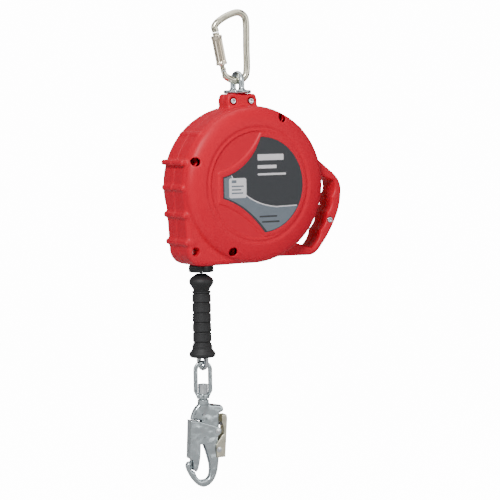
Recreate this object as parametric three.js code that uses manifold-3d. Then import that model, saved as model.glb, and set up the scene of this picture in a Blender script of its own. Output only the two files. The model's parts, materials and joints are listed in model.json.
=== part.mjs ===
// Self retracting lifeline: a red two-shell housing with a swivel eye and carabiner on top, a steel
// load strap, cable drum, power spring and centrifugal brake inside, and a wire rope lifeline that
// ends in a bumper, a swivel link and a self-locking snap hook.
//
// Millimetres, +Z up. The drum turns about the Y axis. The origin is where that axis meets the flat
// back face of the rear cover, so the front cover faces -Y and the carry handle is on the +X side.

import * as THREE from 'three';
import { mergeVertices } from 'three/addons/utils/BufferGeometryUtils.js';
import Module from 'manifold-3d';

const wasm = await Module();
wasm.setup();

// ---------------------------------------------------------------- driving dimensions

const GAP = 0.3; // running clearance between neighbours
const degrees = THREE.MathUtils.degToRad;

// housing
const THICKNESS = 98; // front disc to back face
const MID_Y = -THICKNESS / 2; // parting plane, and the plane of the cable
const HALF = THICKNESS / 2;
const PLATE_HALF = 34; // the flat corner plate stands this far from the parting plane
const OUTLINE_R = 116; // round outline, and half the width and height of the squared corner
const CORNER_R = 24; // lower left corner
const CORNER_X = -110; // the left side leans in a little on its way down to here
const HOUSING_LOW = -117; // flat underside at the cable outlet
const EDGE_R = 6; // rounded edge of the corner plate
const DISC_R = 82; // flat disc in the middle of each face
const DOME_R = 114.5; // widest radius of the domed middle
const DOME_EDGE_HALF = 36; // where the domed shoulder reaches that radius
const WALL = 3.4;
const PARTING_GAP = 0.3;
const LABEL_RECESS = 0.8;
const LABEL_THICK = 0.6;

// neck and swivel eye
const NECK_X = -7.5;
const NECK_WIDE = 50;
const NECK_DEEP = 32;
const NECK_TOP = 134.5;
const NECK_BOLT_X = 15;
const NECK_BOLT_Z = 123.5;
const EYE_FLANGE_R = 20.5;
const EYE_FLANGE_THICK = 5;
const EYE_ROD_R = 4.5;
const EYE_BOW_R = 11.7; // centre line radius of the bow
const EYE_LEG = 12.5;
const EYE_FLAT = 4.1; // half thickness across the bow's flat sides
const EYE_SHANK_R = 6;
const EYE_TURN = degrees(-86);

// carabiner
const CARABINER_ROD_R = 5.1;
const CARABINER_TURN = degrees(-12);
const SLEEVE_R = 8.2;
const GATE_R = 4.6;

// carry handle
const HANDLE_HALF = 20;
const HANDLE_BOLT = [141, -58.5];

// load path and mechanism, as distances from the parting plane along the drum axis
const SHAFT_R = 8;
const STRAP_FACE = 32; // inner face of each strap plate
const STRAP_THICK = 4;
const STRAP_WIDE = 40;
const STRAP_NECK_WIDE = 20;
const STRAP_NECK_HALF = 12;
const STRAP_TOP = 120;
const DRUM_FLANGE_R = 84;
const DRUM_HALF = 13;
const DRUM_FLANGE_THICK = 2;
const DRUM_CORE_R = 50;
const CABLE_R = 2.4;
const CABLE_X = -73; // the cable leaves the wound pack here
const PACK_R = 75;
const TOOTH_COUNT = 12;
const TOOTH_TIP_R = 56;
const RING_R = 62;
const PAWL_PIVOT_R = 40;
const PAWL_LENGTH = 30;
const PAWL_REST = degrees(95); // arm direction from its pin, out from the drum centre being zero

// lifeline below the housing (heights)
const NOZZLE_R = 18.5;
const NOZZLE_BOTTOM = -128;
const BUMPER_TOP = -130.5;
const BUMPER_BOTTOM = -254.8;
const THIMBLE_R = 6.4;
const THIMBLE_Z = -262.2;
const THIMBLE_TURN = degrees(100);
const LINK_TURN = degrees(-10);
const LINK_TOP = -260;
const LINK_BOTTOM = -317;
const LINK_HALF = 14.5;
const LINK_BAR = 6.2;
const HOOK_TOP = -323;
const HOOK_TURN = degrees(-5);
const HOOK_HALF = 5.5;
const GATE_PIVOT = [19.7, -44];
const LEVER_PIVOT = [21.2, -72];

// ---------------------------------------------------------------- materials

function finish(color, roughness, metalness) {
  return new THREE.MeshStandardMaterial({ color, roughness, metalness });
}

const looks = {
  redShell: () => finish(0xd8303e, 0.45, 0),
  labelDark: () => finish(0x33373b, 0.5, 0),
  labelGrey: () => finish(0x7c8790, 0.5, 0),
  labelWhite: () => finish(0xece8ee, 0.55, 0),
  zincSteel: () => finish(0xaab2b8, 0.35, 0.9),
  chromateSteel: () => finish(0xd2cdb4, 0.3, 0.9),
  darkSteel: () => finish(0x55585c, 0.45, 0.8),
  springSteel: () => finish(0x6d7075, 0.35, 0.9),
  aluminium: () => finish(0xb9bcc0, 0.4, 0.85),
  bronze: () => finish(0xa9824a, 0.4, 0.8),
  friction: () => finish(0x5b5046, 0.9, 0),
  blackPlastic: () => finish(0x1f2022, 0.5, 0),
  rubber: () => finish(0x262626, 0.75, 0),
  wireRope: () => finish(0x9aa0a4, 0.4, 0.85),
};

// ---------------------------------------------------------------- solids

function signedVolume(points, triangles) {
  const corner = (i) => new THREE.Vector3().fromArray(points, 3 * i);
  let total = 0;
  for (const [a, b, c] of triangles) {
    total += corner(a).dot(corner(b).cross(corner(c)));
  }
  return total;
}

// A closed geometry as a solid whose faces point out.
function solid(geometry) {
  const bare = geometry.clone();
  bare.deleteAttribute('normal');
  bare.deleteAttribute('uv');
  const merged = mergeVertices(bare, 1e-4);
  const points = Float32Array.from(merged.attributes.position.array);
  const index = Array.from(merged.index.array);
  let triangles = [];
  for (let i = 0; i < index.length; i += 3) {
    const [a, b, c] = index.slice(i, i + 3);
    if (a !== b && b !== c && c !== a) triangles.push([a, b, c]);
  }
  if (signedVolume(points, triangles) < 0) triangles = triangles.map(([a, b, c]) => [a, c, b]);
  const triVerts = Uint32Array.from(triangles.flat());
  return new wasm.Manifold(new wasm.Mesh({ numProp: 3, vertProperties: points, triVerts }));
}

function geometryOf(body) {
  const { vertProperties, triVerts } = body.getMesh();
  const geometry = new THREE.BufferGeometry();
  geometry.setAttribute('position', new THREE.BufferAttribute(Float32Array.from(vertProperties), 3));
  geometry.setIndex(new THREE.BufferAttribute(Uint32Array.from(triVerts), 1));
  geometry.computeVertexNormals();
  return geometry;
}

function piece(name, body, material) {
  const mesh = new THREE.Mesh(geometryOf(body), material);
  mesh.name = name;
  return mesh;
}

const join = (first, ...rest) => rest.reduce((sum, body) => sum.add(body), first);
const cut = (first, ...rest) => rest.reduce((left, body) => left.subtract(body), first);

// An outline in the X-Z plane, extruded along Y from its back (the higher y) to its front.
function prism(outline, back, front, bevel = 0, curveSegments = 8) {
  const geometry = new THREE.ExtrudeGeometry(outline, {
    depth: back - front - 2 * bevel,
    bevelEnabled: bevel > 0,
    bevelThickness: bevel,
    bevelSize: bevel,
    bevelOffset: -bevel,
    bevelSegments: 1,
    curveSegments,
  });
  geometry.rotateX(Math.PI / 2);
  geometry.translate(0, back - bevel, 0);
  return solid(geometry);
}

// A profile of [radius, y] points turned about the Y axis, moved to (x, z).
function turnedY(profile, segments = 20, x = 0, z = 0) {
  const points = profile.map(([r, y]) => new THREE.Vector2(r, y));
  const geometry = new THREE.LatheGeometry(points, segments);
  geometry.translate(x, 0, z);
  return solid(geometry);
}

// A profile of [radius, z] points turned about the Z axis, moved to (x, y).
function turnedZ(profile, segments = 24, x = 0, y = 0) {
  const points = profile.map(([r, z]) => new THREE.Vector2(r, z));
  const geometry = new THREE.LatheGeometry(points, segments);
  geometry.rotateX(Math.PI / 2);
  geometry.translate(x, y, 0);
  return solid(geometry);
}

function rodY(r, back, front, x = 0, z = 0, segments = 16) {
  return turnedY([[0, front], [r, front], [r, back], [0, back]], segments, x, z);
}

function rodZ(r, low, high, x = 0, y = 0, segments = 16) {
  return turnedZ([[0, low], [r, low], [r, high], [0, high]], segments, x, y);
}

function ringY(outer, inner, back, front, x = 0, z = 0, segments = 24) {
  const profile = [[inner, front], [outer, front], [outer, back], [inner, back], [inner, front]];
  return turnedY(profile, segments, x, z);
}

function ringZ(outer, inner, low, high, segments = 20) {
  return turnedZ([[inner, low], [outer, low], [outer, high], [inner, high], [inner, low]], segments);
}

// A box from its low corner to its high corner.
function block(low, high) {
  const size = high.map((value, i) => value - low[i]);
  const geometry = new THREE.BoxGeometry(...size);
  geometry.translate(...high.map((value, i) => (value + low[i]) / 2));
  return solid(geometry);
}

// A round rod along a curve. A circle drawn with n curve segments has 2n sides.
function rodAlong(curve, r, steps, halfSides = 5) {
  const circle = new THREE.Shape().absarc(0, 0, r, 0, 2 * Math.PI);
  const geometry = new THREE.ExtrudeGeometry(circle, {
    steps,
    curveSegments: halfSides,
    extrudePath: curve,
  });
  return solid(geometry);
}

function smoothCurve(points) {
  return new THREE.CatmullRomCurve3(points.map((p) => new THREE.Vector3(...p)), false, 'centripetal');
}

class Helix extends THREE.Curve {
  constructor(r, height, turns) {
    super();
    Object.assign(this, { r, height, turns });
  }

  getPoint(t) {
    const angle = 2 * Math.PI * this.turns * t;
    return new THREE.Vector3(this.r * Math.cos(angle), this.r * Math.sin(angle), this.height * t);
  }
}

function coilSpring(r, wire, height, turns, stepsPerTurn = 6) {
  return rodAlong(new Helix(r, height, turns), wire, Math.round(turns * stepsPerTurn), 2);
}

function polygon(points) {
  return new THREE.Shape(points.map(([x, z]) => new THREE.Vector2(x, z)));
}

// Front and back copies of a plane position: plus is towards the front cover.
const front = (distance) => MID_Y - distance;
const back = (distance) => MID_Y + distance;

// ---------------------------------------------------------------- housing shells

const SCREW_PLACES = [[-101, 36], [-98, -95], [-42, -97], [44, 98]];
const SCREW = { pocketR: 6.2, holeR: 2.7, bossR: 8.6, shankR: 2.4, headR: 4.6, headHigh: 4.5 };
const SCREW_SEAT = 15;
const SCREW_END = 17;
const LEFT_RIB_HEIGHTS = [35, -2, -42, -82];
const ROUND_RIB_ANGLES = [degrees(139), degrees(45)];
const RIB_HALF = 4;
const RIB_PROUD = 4;

// The round outline with its lower left quarter squared off, drawn in by an inset.
function housingOutline(inset) {
  const r = OUTLINE_R - inset;
  const corner = CORNER_R - inset;
  const low = HOUSING_LOW + inset;
  const shape = new THREE.Shape();
  shape.moveTo(-r, 0);
  shape.lineTo(CORNER_X + inset, low + corner);
  shape.absarc(CORNER_X + inset + corner, low + corner, corner, Math.PI, 1.5 * Math.PI);
  shape.lineTo(-45, low);
  shape.lineTo(0, -r);
  shape.absarc(0, 0, r, 1.5 * Math.PI, 3 * Math.PI);
  return shape;
}

// The round drum-shaped middle: a flat disc on each face with an elliptical shoulder around it.
function housingDome(inset) {
  const steps = 3;
  const quarter = [];
  for (let i = 0; i <= steps; i += 1) {
    const angle = (i / steps) * Math.PI / 2;
    const r = DISC_R - inset + (DOME_R - DISC_R) * Math.sin(angle);
    quarter.push([r, DOME_EDGE_HALF + (HALF - inset - DOME_EDGE_HALF) * Math.cos(angle)]);
  }
  const frontHalf = quarter.map(([r, distance]) => [r, front(distance)]);
  const backHalf = quarter.map(([r, distance]) => [r, back(distance)]).reverse();
  return turnedY([[0, front(HALF - inset)], ...frontHalf, ...backHalf, [0, back(HALF - inset)]], 36);
}

function ribs() {
  const lean = (CORNER_X + OUTLINE_R) / (HOUSING_LOW + CORNER_R);
  const bodies = LEFT_RIB_HEIGHTS.map((z) => {
    const side = -OUTLINE_R + lean * Math.min(z, 0);
    const outline = polygon([
      [side - RIB_PROUD, z - RIB_HALF],
      [side + 9, z - RIB_HALF],
      [side + 9, z + RIB_HALF],
      [side - RIB_PROUD, z + RIB_HALF],
    ]);
    return prism(outline, back(PLATE_HALF), front(PLATE_HALF), 3);
  });
  for (const angle of ROUND_RIB_ANGLES) {
    const geometry = new THREE.BoxGeometry(18, 2 * PLATE_HALF - 4, 2 * RIB_HALF);
    geometry.translate(OUTLINE_R + RIB_PROUD - 9 - 2, MID_Y, 0);
    geometry.rotateY(-angle);
    bodies.push(solid(geometry));
  }
  return bodies;
}

function neckBlock() {
  const half = NECK_WIDE / 2;
  const chamfer = 3;
  const outline = polygon([
    [NECK_X - half - 8, 100],
    [NECK_X + half + 4, 100],
    [NECK_X + half, 114],
    [NECK_X + half, NECK_TOP - chamfer],
    [NECK_X + half - chamfer, NECK_TOP],
    [NECK_X - half + chamfer, NECK_TOP],
    [NECK_X - half, NECK_TOP - chamfer],
    [NECK_X - half, 114],
  ]);
  return prism(outline, back(NECK_DEEP / 2), front(NECK_DEEP / 2), 2.5);
}

// The D-shaped carry handle on the right. Its grip has four finger scallops on the inside.
function handleBar() {
  const outline = new THREE.Shape();
  outline.moveTo(96, 48);
  outline.lineTo(124, 32);
  outline.lineTo(147, 14);
  outline.quadraticCurveTo(161.5, 2, 161.5, -12);
  outline.quadraticCurveTo(161.5, -36, 152, -55);
  outline.quadraticCurveTo(141, -79, 127, -95);
  outline.quadraticCurveTo(116, -111, 104, -111);
  outline.lineTo(40, -110);
  outline.lineTo(50, -60);
  outline.lineTo(96, 0);
  return cut(
    prism(outline, back(HANDLE_HALF), front(HANDLE_HALF), 4, 4),
    prism(handleOpening(), back(HANDLE_HALF + 1), front(HANDLE_HALF + 1), 0, 4),
  );
}

// The hand opening: the housing's round side, and four finger grooves along the bar.
function handleOpening() {
  const bar = new THREE.QuadraticBezierCurve(
    new THREE.Vector2(148, 1),
    new THREE.Vector2(143, -46),
    new THREE.Vector2(108, -99),
  );
  const fingers = 4;
  const grooveDepth = 7;
  const clear = OUTLINE_R + 1;
  const low = degrees(-50);
  const opening = new THREE.Shape();
  opening.moveTo(clear * Math.cos(low), clear * Math.sin(low));
  opening.absarc(0, 0, clear, low, degrees(6));
  opening.lineTo(148, 1);
  for (let i = 0; i < fingers; i += 1) {
    const start = bar.getPoint(i / fingers);
    const end = bar.getPoint((i + 1) / fingers);
    const along = end.clone().sub(start);
    const outward = new THREE.Vector2(-along.y, along.x).normalize();
    const control = start.clone().addScaledVector(along, 0.5).addScaledVector(outward, grooveDepth);
    opening.quadraticCurveTo(control.x, control.y, end.x, end.y);
  }
  return opening;
}

function labelOutline(inset) {
  const centre = 4;
  const r = 71 - inset;
  const left = -60 + inset;
  const start = degrees(-86);
  const end = degrees(90);
  const shape = new THREE.Shape();
  shape.moveTo(centre + r * Math.cos(start), r * Math.sin(start));
  shape.absarc(centre, 0, r, start, end);
  shape.quadraticCurveTo(-14 + inset, 24 - inset, left, 13 - inset);
  shape.lineTo(left, -19 + inset);
  shape.quadraticCurveTo(-22 + inset, -30 + inset, centre + r * Math.cos(start), r * Math.sin(start));
  return shape;
}

function rearLabelOutline(inset) {
  const wide = 46 - inset;
  return polygon([
    [-wide, -62 + inset],
    [wide, -62 + inset],
    [wide, -16 - inset],
    [-wide, -16 - inset],
  ]);
}

function screwBoss([x, z]) {
  return rodY(SCREW.bossR, back(PLATE_HALF - 1), front(PLATE_HALF - 1), x, z, 12);
}

function screwHoles([x, z]) {
  return join(
    rodY(SCREW.pocketR, front(SCREW_SEAT), front(HALF + 1), x, z, 14),
    rodY(SCREW.holeR, back(SCREW_END + 1), front(SCREW_SEAT + 1), x, z, 8),
  );
}

// Bolts right through the housing: a recess for the head at the front and for the nut at the back.
function throughHoles([x, z], half, recessR, depth) {
  return join(
    rodY(2.8, back(half + 1), front(half + 1), x, z, 8),
    rodY(recessR, front(half - depth), front(half + 1), x, z, 14),
    rodY(recessR, back(half + 1), back(half - depth), x, z, 14),
  );
}

const NECK_BOLTS = [[NECK_X - NECK_BOLT_X, NECK_BOLT_Z], [NECK_X + NECK_BOLT_X, NECK_BOLT_Z]];
const NECK_RECESS = { r: 5.7, depth: 4 };
const HANDLE_RECESS = { r: 4.9, depth: 5 };

function housingShell() {
  const skin = join(
    prism(housingOutline(0), back(PLATE_HALF), front(PLATE_HALF), EDGE_R, 9),
    housingDome(0),
    neckBlock(),
    handleBar(),
    ...ribs(),
  );
  const cavity = join(
    prism(housingOutline(WALL), back(PLATE_HALF - WALL), front(PLATE_HALF - WALL), 3, 9),
    housingDome(WALL),
    block(
      [NECK_X - STRAP_NECK_WIDE / 2 - 1, back(-STRAP_NECK_HALF - 1), 96],
      [NECK_X + STRAP_NECK_WIDE / 2 + 1, back(STRAP_NECK_HALF + 1), STRAP_TOP + 4],
    ),
  );
  const bosses = join(...SCREW_PLACES.map(screwBoss)).intersect(skin);
  return cut(
    cut(skin, cavity).add(bosses),
    ...SCREW_PLACES.map(screwHoles),
    ...NECK_BOLTS.map((place) => throughHoles(place, NECK_DEEP / 2, NECK_RECESS.r, NECK_RECESS.depth)),
    throughHoles(HANDLE_BOLT, HANDLE_HALF, HANDLE_RECESS.r, HANDLE_RECESS.depth),
    rodZ(EYE_SHANK_R + 1, STRAP_TOP, NECK_TOP + 1, NECK_X, MID_Y),
    rodZ(9.5, HOUSING_LOW - 1, HOUSING_LOW + WALL + 1, CABLE_X, MID_Y),
    prism(labelOutline(0), front(HALF - LABEL_RECESS), front(HALF + 1)),
    prism(rearLabelOutline(0), back(HALF + 1), back(HALF - LABEL_RECESS)),
  );
}

function housingCovers() {
  const shell = housingShell();
  const reach = 2 * OUTLINE_R;
  const frontSpace = block([-reach, front(HALF + 5), -reach], [reach, front(PARTING_GAP / 2), reach]);
  const backSpace = block([-reach, back(PARTING_GAP / 2), -reach], [reach, back(HALF + 5), reach]);
  return [
    piece('front_cover', shell.intersect(frontSpace), looks.redShell()),
    piece('rear_cover', shell.intersect(backSpace), looks.redShell()),
  ];
}

function labels() {
  const base = front(HALF - LABEL_RECESS);
  const top = base - LABEL_THICK;
  const plate = prism(labelOutline(GAP), base, top);
  const band = new THREE.Shape();
  band.moveTo(-58, 11);
  band.lineTo(-46, 15);
  band.quadraticCurveTo(-24, -28, 30, -33);
  band.lineTo(64, -32);
  band.absarc(4, 0, 69.5, degrees(-28), degrees(-83), true);
  band.quadraticCurveTo(-20, -28, -58, -17);
  const sticker = polygon([[-50, 11], [-21.5, 11], [-21.5, -18], [-50, -18]]);
  const bandTop = top - 0.2;
  const rearBase = back(HALF - LABEL_RECESS);
  return [
    piece('front_label', plate, looks.labelDark()),
    piece('label_band', prism(band, top, bandTop), looks.labelGrey()),
    piece('class_sticker', prism(sticker, bandTop, bandTop - 0.2), looks.labelWhite()),
    piece('rear_label', prism(rearLabelOutline(GAP), rearBase + LABEL_THICK, rearBase), looks.labelWhite()),
  ];
}

function coverScrews() {
  return SCREW_PLACES.map(([x, z], i) => {
    const seat = front(SCREW_SEAT);
    const profile = [
      [0, seat - SCREW.headHigh],
      [SCREW.headR, seat - SCREW.headHigh],
      [SCREW.headR, seat],
      [SCREW.shankR, seat],
      [SCREW.shankR, back(SCREW_END)],
      [0, back(SCREW_END)],
    ];
    return piece(`cover_screw_${i + 1}`, turnedY(profile, 14, x, z), looks.zincSteel());
  });
}

function hexagon(acrossFlats, x = 0, z = 0) {
  const r = acrossFlats / Math.sqrt(3);
  const corners = [0, 1, 2, 3, 4, 5].map((i) => [
    x + r * Math.cos((i * Math.PI) / 3),
    z + r * Math.sin((i * Math.PI) / 3),
  ]);
  return polygon(corners);
}

// A cap screw with a hexagon socket, and the nut on its far end.
function boltAndNut(name, [x, z], half, recess, headR) {
  const seat = front(half - recess.depth);
  const end = back(half - recess.depth);
  const headHigh = 3.6;
  const profile = [
    [0, seat - headHigh],
    [headR, seat - headHigh],
    [headR, seat],
    [2.4, seat],
    [2.4, end + 3.4],
    [0, end + 3.4],
  ];
  const socket = prism(hexagon(3.6, x, z), seat - headHigh + 2, seat - headHigh - 1);
  const nut = cut(prism(hexagon(7.6, x, z), end + 3, end), rodY(2.7, end + 4, end - 1, x, z, 12));
  return [
    piece(`${name}_bolt`, cut(turnedY(profile, 16, x, z), socket), looks.zincSteel()),
    piece(`${name}_nut`, nut, looks.zincSteel()),
  ];
}

// The moulded guide where the cable leaves the housing: a collar outside and a lip inside the wall.
function cableNozzle() {
  const wallTop = HOUSING_LOW + WALL;
  const profile = [
    [3.4, -106],
    [12, -106],
    [13, wallTop + GAP],
    [9, wallTop + GAP],
    [9, HOUSING_LOW - GAP],
    [NOZZLE_R - 1.5, HOUSING_LOW - GAP],
    [NOZZLE_R, HOUSING_LOW - 2],
    [NOZZLE_R, NOZZLE_BOTTOM + 1.5],
    [NOZZLE_R - 1.5, NOZZLE_BOTTOM],
    [7, NOZZLE_BOTTOM],
    [3.4, NOZZLE_BOTTOM + 5],
    [3.4, -106],
  ];
  return piece('cable_nozzle', turnedZ(profile, 20, CABLE_X, MID_Y), looks.blackPlastic());
}

// ---------------------------------------------------------------- load strap and fixed mechanism

// One plate each side of the drum, cranked inwards to a bridge in the neck that carries the eye.
function loadStrap() {
  const outer = STRAP_FACE + STRAP_THICK;
  const neck = STRAP_NECK_HALF;
  const neckInner = neck - 3.5;
  const bridge = STRAP_TOP - 5;
  const side = (sign) => [[sign * outer, -24], [sign * outer, 74], [sign * neck, 98], [sign * neck, STRAP_TOP]];
  const inside = [[neckInner, bridge], [neckInner, 97], [STRAP_FACE, 72.5], [STRAP_FACE, -24]];
  const mirrored = inside.map(([y, z]) => [-y, z]).reverse();
  const outline = polygon([...side(1), ...side(-1).reverse(), ...mirrored, ...inside]);
  const geometry = new THREE.ExtrudeGeometry(outline, { depth: STRAP_WIDE, bevelEnabled: false });
  geometry.rotateX(Math.PI / 2);
  geometry.rotateZ(Math.PI / 2);
  geometry.translate(-STRAP_WIDE / 2, MID_Y, 0);
  const neckLow = NECK_X - STRAP_NECK_WIDE / 2;
  const neckHigh = NECK_X + STRAP_NECK_WIDE / 2;
  return cut(
    solid(geometry),
    block([-STRAP_WIDE, back(-HALF), 92], [neckLow, back(HALF), 130]),
    block([neckHigh, back(-HALF), 92], [STRAP_WIDE, back(HALF), 130]),
    rodY(SHAFT_R + GAP, back(HALF), front(HALF), 0, 0, 24),
    rodZ(EYE_SHANK_R + 0.4, bridge - 1, STRAP_TOP + 1, NECK_X, MID_Y),
  );
}

function mainShaft() {
  return rodY(SHAFT_R, back(41.5), front(41.5), 0, 0, 24);
}

function shaftNut(name, low, high) {
  const body = cut(prism(hexagon(24), high, low), rodY(SHAFT_R + GAP, high + 1, low - 1, 0, 0, 24));
  return piece(name, body, looks.zincSteel());
}

// The brake disc is a cup whose rim carries inward teeth that the pawls catch.
function brakeCup() {
  const rim = ringY(RING_R + 6, RING_R, front(13.6), front(22), 0, 0, 36);
  const floor = ringY(RING_R + 6, SHAFT_R + GAP + 0.2, front(22), front(25), 0, 0, 36);
  const teeth = [];
  for (let i = 0; i < TOOTH_COUNT; i += 1) {
    const tooth = new THREE.BoxGeometry(RING_R - TOOTH_TIP_R + 2, 8.4, 11);
    tooth.translate((TOOTH_TIP_R + RING_R + 2) / 2, front(17.8), 0);
    tooth.rotateY(-degrees(42.5 + (i * 360) / TOOTH_COUNT));
    teeth.push(solid(tooth));
  }
  return join(rim, floor, ...teeth);
}

function springCup() {
  return turnedY(
    [
      [SHAFT_R + GAP, back(31.5)],
      [72, back(31.5)],
      [72, back(15)],
      [70.5, back(15)],
      [70.5, back(30)],
      [SHAFT_R + GAP, back(30)],
      [SHAFT_R + GAP, back(31.5)],
    ],
    32,
  );
}

// A flat coiled strip. Each edge is the same spiral, half a thickness in or out.
function powerSpring() {
  const turns = 6;
  const perTurn = 12;
  const start = 19;
  const pitch = 7.8;
  const strip = 1.1;
  const edge = (offset) => {
    const points = [];
    for (let i = 0; i <= turns * perTurn; i += 1) {
      const angle = (2 * Math.PI * i) / perTurn;
      const r = start + (pitch * i) / perTurn + offset;
      points.push([r * Math.cos(angle), r * Math.sin(angle)]);
    }
    return points;
  };
  return prism(polygon([...edge(strip), ...edge(-strip).reverse()]), back(29.4), back(16));
}

function fixedMechanism() {
  const inner = SHAFT_R + GAP;
  const belleville = turnedY(
    [[inner, front(31)], [20, front(30)], [20, front(29)], [inner, front(30)], [inner, front(31)]],
    28,
  );
  return [
    piece('load_strap', loadStrap(), looks.zincSteel()),
    piece('main_shaft', mainShaft(), looks.darkSteel()),
    shaftNut('shaft_nut_front', front(41.2), front(36.3)),
    shaftNut('shaft_nut_rear', back(36.3), back(41.2)),
    piece('spring_cup', springCup(), looks.zincSteel()),
    piece('power_spring', powerSpring(), looks.springSteel()),
    piece('brake_cup', brakeCup(), looks.zincSteel()),
    piece('inner_lining', ringY(28, inner + 0.2, front(19.8), front(21.8), 0, 0, 20), looks.friction()),
    piece('backing_plate', ringY(27, inner, front(17.6), front(19.6), 0, 0, 20), looks.zincSteel()),
    piece('outer_lining', ringY(28, inner + 0.2, front(25.2), front(27.2), 0, 0, 20), looks.friction()),
    piece('pressure_plate', ringY(27, inner, front(27.4), front(28.8), 0, 0, 20), looks.zincSteel()),
    piece('belleville_washer', belleville, looks.springSteel()),
  ];
}

// ---------------------------------------------------------------- drum and pawls

function drum() {
  const bore = SHAFT_R + 3.3;
  const hub = 16.5;
  const profile = [
    [bore, front(DRUM_HALF)],
    [DRUM_FLANGE_R, front(DRUM_HALF)],
    [DRUM_FLANGE_R, front(DRUM_HALF - DRUM_FLANGE_THICK)],
    [DRUM_CORE_R, front(DRUM_HALF - DRUM_FLANGE_THICK)],
    [DRUM_CORE_R, back(DRUM_HALF - DRUM_FLANGE_THICK)],
    [DRUM_FLANGE_R, back(DRUM_HALF - DRUM_FLANGE_THICK)],
    [DRUM_FLANGE_R, back(DRUM_HALF)],
    [hub, back(DRUM_HALF)],
    [hub, back(29.4)],
    [bore, back(29.4)],
    [bore, front(DRUM_HALF)],
  ];
  const pinHoles = [0, Math.PI].map((angle) => rodY(
    2.8,
    back(0),
    front(DRUM_HALF + 1),
    PAWL_PIVOT_R * Math.cos(angle),
    PAWL_PIVOT_R * Math.sin(angle),
    14,
  ));
  return cut(turnedY(profile, 36), ...pinHoles);
}

// A pawl in a frame whose origin is its pin and whose x axis points away from the drum centre.
function pawlBody() {
  const arm = new THREE.BoxGeometry(PAWL_LENGTH, 5.4, 10);
  arm.translate(PAWL_LENGTH / 2, 0, 0);
  arm.rotateY(-PAWL_REST);
  const boss = rodY(6, 2.7, -2.7, 0, 0, 18);
  return cut(join(solid(arm), boss), rodY(3.3, 4, -4, 0, 0, 16));
}

function pawlStation(number, angle) {
  const station = new THREE.Group();
  station.position.set(PAWL_PIVOT_R * Math.cos(angle), front(17.9), PAWL_PIVOT_R * Math.sin(angle));
  station.rotation.y = -angle;
  const pin = turnedY([[0, -3.7], [5, -3.7], [5, -3], [2.5, -3], [2.5, 16], [0, 16]], 12);
  const spring = coilSpring(4.1, 0.35, 1.2, 1.5, 10);
  const springMesh = piece(`pawl_spring_${number}`, spring, looks.springSteel());
  springMesh.position.y = 3.2;
  springMesh.rotation.x = -Math.PI / 2;
  station.add(
    piece(`pawl_${number}`, pawlBody(), looks.darkSteel()),
    piece(`pawl_pin_${number}`, pin, looks.zincSteel()),
    springMesh,
  );
  return station;
}

function drumParts() {
  const bushing = (name, low, high) => piece(
    name,
    ringY(SHAFT_R + 3, SHAFT_R + 0.3, high, low, 0, 0, 20),
    looks.bronze(),
  );
  const pack = ringY(PACK_R, DRUM_CORE_R + GAP, back(10.7), front(10.7), 0, 0, 36);
  return [
    piece('drum', drum(), looks.aluminium()),
    bushing('bushing_front', front(12.8), front(1)),
    bushing('bushing_rear', back(14), back(29)),
    piece('wound_cable', pack, looks.wireRope()),
    pawlStation(1, 0),
    pawlStation(2, Math.PI),
  ];
}

// ---------------------------------------------------------------- swivel eye and carabiner

function swivelEye() {
  const flangeLow = NECK_TOP + GAP;
  const flangeTop = flangeLow + EYE_FLANGE_THICK;
  const stem = turnedZ(
    [
      [0, 103],
      [EYE_SHANK_R, 103],
      [EYE_SHANK_R, flangeLow],
      [EYE_FLANGE_R, flangeLow],
      [EYE_FLANGE_R, flangeTop - 1.5],
      [EYE_FLANGE_R - 3, flangeTop],
      [0, flangeTop],
    ],
    28,
  );
  const crown = flangeTop + EYE_LEG;
  const points = [];
  const arcSteps = 8;
  points.push([-EYE_BOW_R, 0, flangeTop - 2], [-EYE_BOW_R, 0, flangeTop + EYE_LEG / 2]);
  for (let i = 0; i <= arcSteps; i += 1) {
    const angle = Math.PI * (1 - i / arcSteps);
    points.push([EYE_BOW_R * Math.cos(angle), 0, crown + EYE_BOW_R * Math.sin(angle)]);
  }
  points.push([EYE_BOW_R, 0, flangeTop + EYE_LEG / 2], [EYE_BOW_R, 0, flangeTop - 2]);
  const bow = rodAlong(smoothCurve(points), EYE_ROD_R, 16, 4).intersect(
    block([-40, -EYE_FLAT, flangeTop - 3], [40, EYE_FLAT, crown + 40]),
  );
  return join(stem, bow);
}

function eyeGroup() {
  const group = new THREE.Group();
  group.position.set(NECK_X, MID_Y, 0);
  group.rotation.z = EYE_TURN;
  const nut = ringZ(7.9, EYE_SHANK_R + GAP, 105, STRAP_TOP - 5 - GAP, 20);
  group.add(
    piece('swivel_eye', swivelEye(), looks.zincSteel()),
    piece('eye_nut', nut, looks.zincSteel()),
  );
  return group;
}

const EYE_INNER_TOP = NECK_TOP + GAP + EYE_FLANGE_THICK + EYE_LEG + EYE_BOW_R - EYE_ROD_R;
const CARABINER_Z = EYE_INNER_TOP - CARABINER_ROD_R - 3 * GAP;
const NOSE = [-32.3, 72];
const HINGE = [-21.6, 15];

// The open C of the carabiner, from the nose over the top, down the spine and round to the hinge.
function carabinerBody() {
  const path = [
    [NOSE[0], NOSE[1] + 1.5],
    [-33.8, 80],
    [-28, 87.5],
    [-14.5, 96],
    [1, 101],
    [11, 97],
    [14.8, 85.5],
    [14.9, 50],
    [14.9, 16],
    [10.5, 4.6],
    [-0.5, 0],
    [-13.4, 4],
    [-20.6, 11],
    [HINGE[0] - 0.8, HINGE[1] + 5],
  ];
  const rod = rodAlong(smoothCurve(path.map(([u, w]) => [u, 0, w])), CARABINER_ROD_R, 44, 4);
  const slot = block([-40, -2.3, HINGE[1] - 5], [-12, 2.3, HINGE[1] + 7]);
  const seat = block([-3, -4, 90], [5, 4, 96.6]); // flat where the anchor bears
  return cut(rod, slot, seat, rodY(1.9, 8, -8, HINGE[0], HINGE[1], 12));
}

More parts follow.
